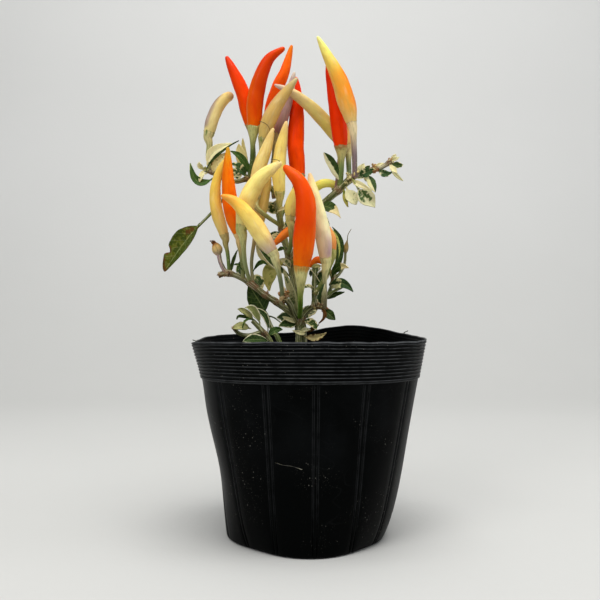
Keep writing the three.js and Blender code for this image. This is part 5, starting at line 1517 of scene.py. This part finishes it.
bit_shapes = [rough_lump("bit", (1, 0.75, 0.6), 0.8, 3.1 + k) for k in range(4)]
bud_pattern = straight_tube("bud_pattern", BUD_SIDES, THREAD_RINGS)
thread_pattern = straight_tube("thread_pattern", THREAD_SIDES, THREAD_RINGS)
for spray in STEMS:
    bits = []
    for owner, points, radius, colours in BUDS:
        if owner == spray:

            def girth(share, angle, spot):
                body = radius * math.sin(math.pi * share**0.8)
                return max(0.4, body) * (1 + 0.08 * math.cos(5 * angle) * share)

            bud = copy_of(bud_pattern, "bud")
            bend(bud, SmoothLine(points), girth, lambda s, a, p: colour_along(colours, s))
            bits.append(bud)
    for owner, points, radius, colour in THREADS:
        if owner == spray:
            bits.append(hang_thread(thread_pattern, "thread", points,
                                    lambda s, a, p: radius * (1.2 - 0.5 * s),
                                    lambda s, a, p: colour))
    for owner, *cluster in CLUSTERS:
        if owner == spray:
            bits += scatter_bits(bit_shapes, *cluster)
    if bits:
        bits = joined("buds_" + spray, bits)
        close_up(bits)
        settle(bits, stalk_green, stem_slot(spray), "stem_" + spray)

# Fibre: one pale plant fibre, fine as a hair, that clings to the front of the pot's film. It is
# beaded along its length and has a small knot at its end.
FIBRE_WAY = [(250.7, 45.3), (255, 44.2), (260.5, 43.7), (266.3, 42.2)]
FIBRE_PALE = (150, 146, 132)


def on_film(direction, z, out):
    """A point this far out of the pot's film."""
    angle = math.radians(direction)
    return around(wall_radius(angle, z) + dent(angle, z) + out, angle, z)


def beaded(share, angle, spot):
    """Dark and pale beads, palest at the knot."""
    bright = 0.35 + 0.4 * abs(math.sin(9 * share)) + 0.25 * share**8
    return [value * bright for value in FIBRE_PALE]


way = [on_film(direction, z, 0.1) for direction, z in FIBRE_WAY]
knotted = lambda s, a, p: 0.06 + 0.2 * s**12
fibre = hang_thread(thread_pattern, "fibre_on_pot", way, knotted, beaded)
close_up(fibre)
settle(fibre, stalk_green, "pot_film", "pot")

# Hairs of film: two thin black strands that were drawn out of the rim where the pot was trimmed,
# one at its left corner and one at the back right. They are one piece with the film.
HAIR_BLACK = (15, 16, 17)
# Direction of the foot, and steps across and up from it in millimetres
HAIRS = [
    (172, [(0.3, -0.5), (0, 0.1), (-0.7, 0.7), (-1.5, 0.8), (-2.1, 1.3)]),
    (30.5, [(-0.4, -0.5), (0, 0.1), (0.6, 0.8), (1.5, 1.5), (2.3, 1.7), (2.8, 2.3)]),
]
hairs = []
for direction, steps in HAIRS:
    x, y, z = on_film(direction, POT_HEIGHT, BAND_STAND_OUT - 0.5 * FILM)
    z += rim_lift(math.radians(direction), POT_HEIGHT)
    points = [(x + across, y, z + up) for across, up in steps]
    thinner = lambda s, a, p: 0.34 - 0.14 * s
    hairs.append(hang_thread(thread_pattern, "hair", points, thinner, lambda s, a, p: HAIR_BLACK))
hairs = joined("hairs_on_rim", hairs)
close_up(hairs)
settle(hairs, stalk_green, "pot_film", "pot")
for pattern in [*bit_shapes, bud_pattern, thread_pattern]:
    bpy.data.objects.remove(pattern)

# Studio: a pale floor that runs up into a plain backdrop, soft lights, and the camera level with
# the middle of the plant, as in the photograph. None of it is part of the object.
FLOOR_SIZE = 4.0
WALL_HEIGHT = 2.5
SWEEP_RADIUS = 0.5
CAMERA = (-0.0042, -0.399, 0.1194)
CAMERA_LENS = 46.5
SENSOR = 36
DAYLIGHT = (0.93, 0.96, 1.0, 1)
DAYLIGHT_STRENGTH = 0.36
# Soft boxes: name, place, target, size, power in watts, and colour
LIGHTS = [
    ("overhead", (0.1, -0.35, 1.2), (0, 0, 0.1), 0.8, 11.5, (1.0, 0.99, 0.97)),
    ("front_left", (-0.7, -1.0, 1.1), (0, 0, 0.14), 0.6, 6.5, (1.0, 0.99, 0.98)),
    ("right", (1.1, -0.2, 0.6), (0, 0, 0.12), 0.5, 2.2, (0.97, 0.98, 1.0)),
    ("wall_wash", (0, 0.15, 1.3), (0, 1.0, 0.3), 0.8, 4.4, (1.0, 1.0, 1.0)),
]


def select_edges(obj, wanted):
    """Selects the edges both of whose ends are wanted, in object mode."""
    vertices = obj.data.vertices
    for edge in obj.data.edges:
        edge.select = all(wanted(vertices[v].co) for v in edge.vertices)


pick()
bpy.ops.mesh.primitive_plane_add(size=FLOOR_SIZE, location=(0, -1.0, -0.0004))
sweep = bpy.context.object
sweep.name = "studio_sweep"
with editing(sweep):
    bpy.ops.mesh.select_all(action="DESELECT")
select_edges(sweep, lambda end: end.y > 0)
with editing(sweep):
    bpy.ops.mesh.select_mode(type="EDGE")
    bpy.ops.mesh.extrude_region_move(TRANSFORM_OT_translate={"value": (0, 0, WALL_HEIGHT)})
select_edges(sweep, lambda end: end.y > 0 and end.z < 0.1)
with editing(sweep):
    bpy.ops.mesh.bevel(offset=SWEEP_RADIUS, segments=24)
bpy.ops.object.transform_apply(location=True, rotation=True, scale=True)
bpy.ops.object.shade_smooth()


def plaster():
    """Matt plaster, a little paler on the wall than on the floor."""
    material, start = new_skin("plaster", {})
    place = start.place()
    shade = cloud(place, 3, 3)
    grain = cloud(place, 300, 3)
    floor = mixed(shade, rgb(192, 192, 189), rgb(198, 198, 195))
    wall = mixed(shade, rgb(209, 209, 207), rgb(216, 216, 214))
    lay(start, mixed(between(place.part(2), 0, 0.5), floor, wall), 0.8 + 0.1 * grain, grain, 0.1)
    return material


sweep.data.materials.append(plaster())

for name, place, target, size, power, colour in LIGHTS:
    lamp = bpy.data.lights.new(name, "AREA")
    lamp.shape = "SQUARE"
    lamp.size = size
    lamp.energy = power
    lamp.color = colour
    holder = bpy.data.objects.new(name, lamp)
    holder.location = place
    holder.rotation_euler = (Vector(target) - Vector(place)).to_track_quat("-Z", "Y").to_euler()
    bpy.context.collection.objects.link(holder)

world = bpy.data.worlds.new("soft_daylight")
world.use_nodes = True
world.node_tree.nodes["Background"].inputs["Color"].default_value = DAYLIGHT
world.node_tree.nodes["Background"].inputs["Strength"].default_value = DAYLIGHT_STRENGTH
bpy.context.scene.world = world
bpy.context.scene.view_settings.view_transform = "Standard"

camera = bpy.data.cameras.new("camera")
camera.lens = CAMERA_LENS
camera.sensor_width = SENSOR
viewer = bpy.data.objects.new("camera", camera)
viewer.location = CAMERA
viewer.rotation_euler = (math.pi / 2, 0, 0)
bpy.context.collection.objects.link(viewer)
bpy.context.scene.camera = viewer
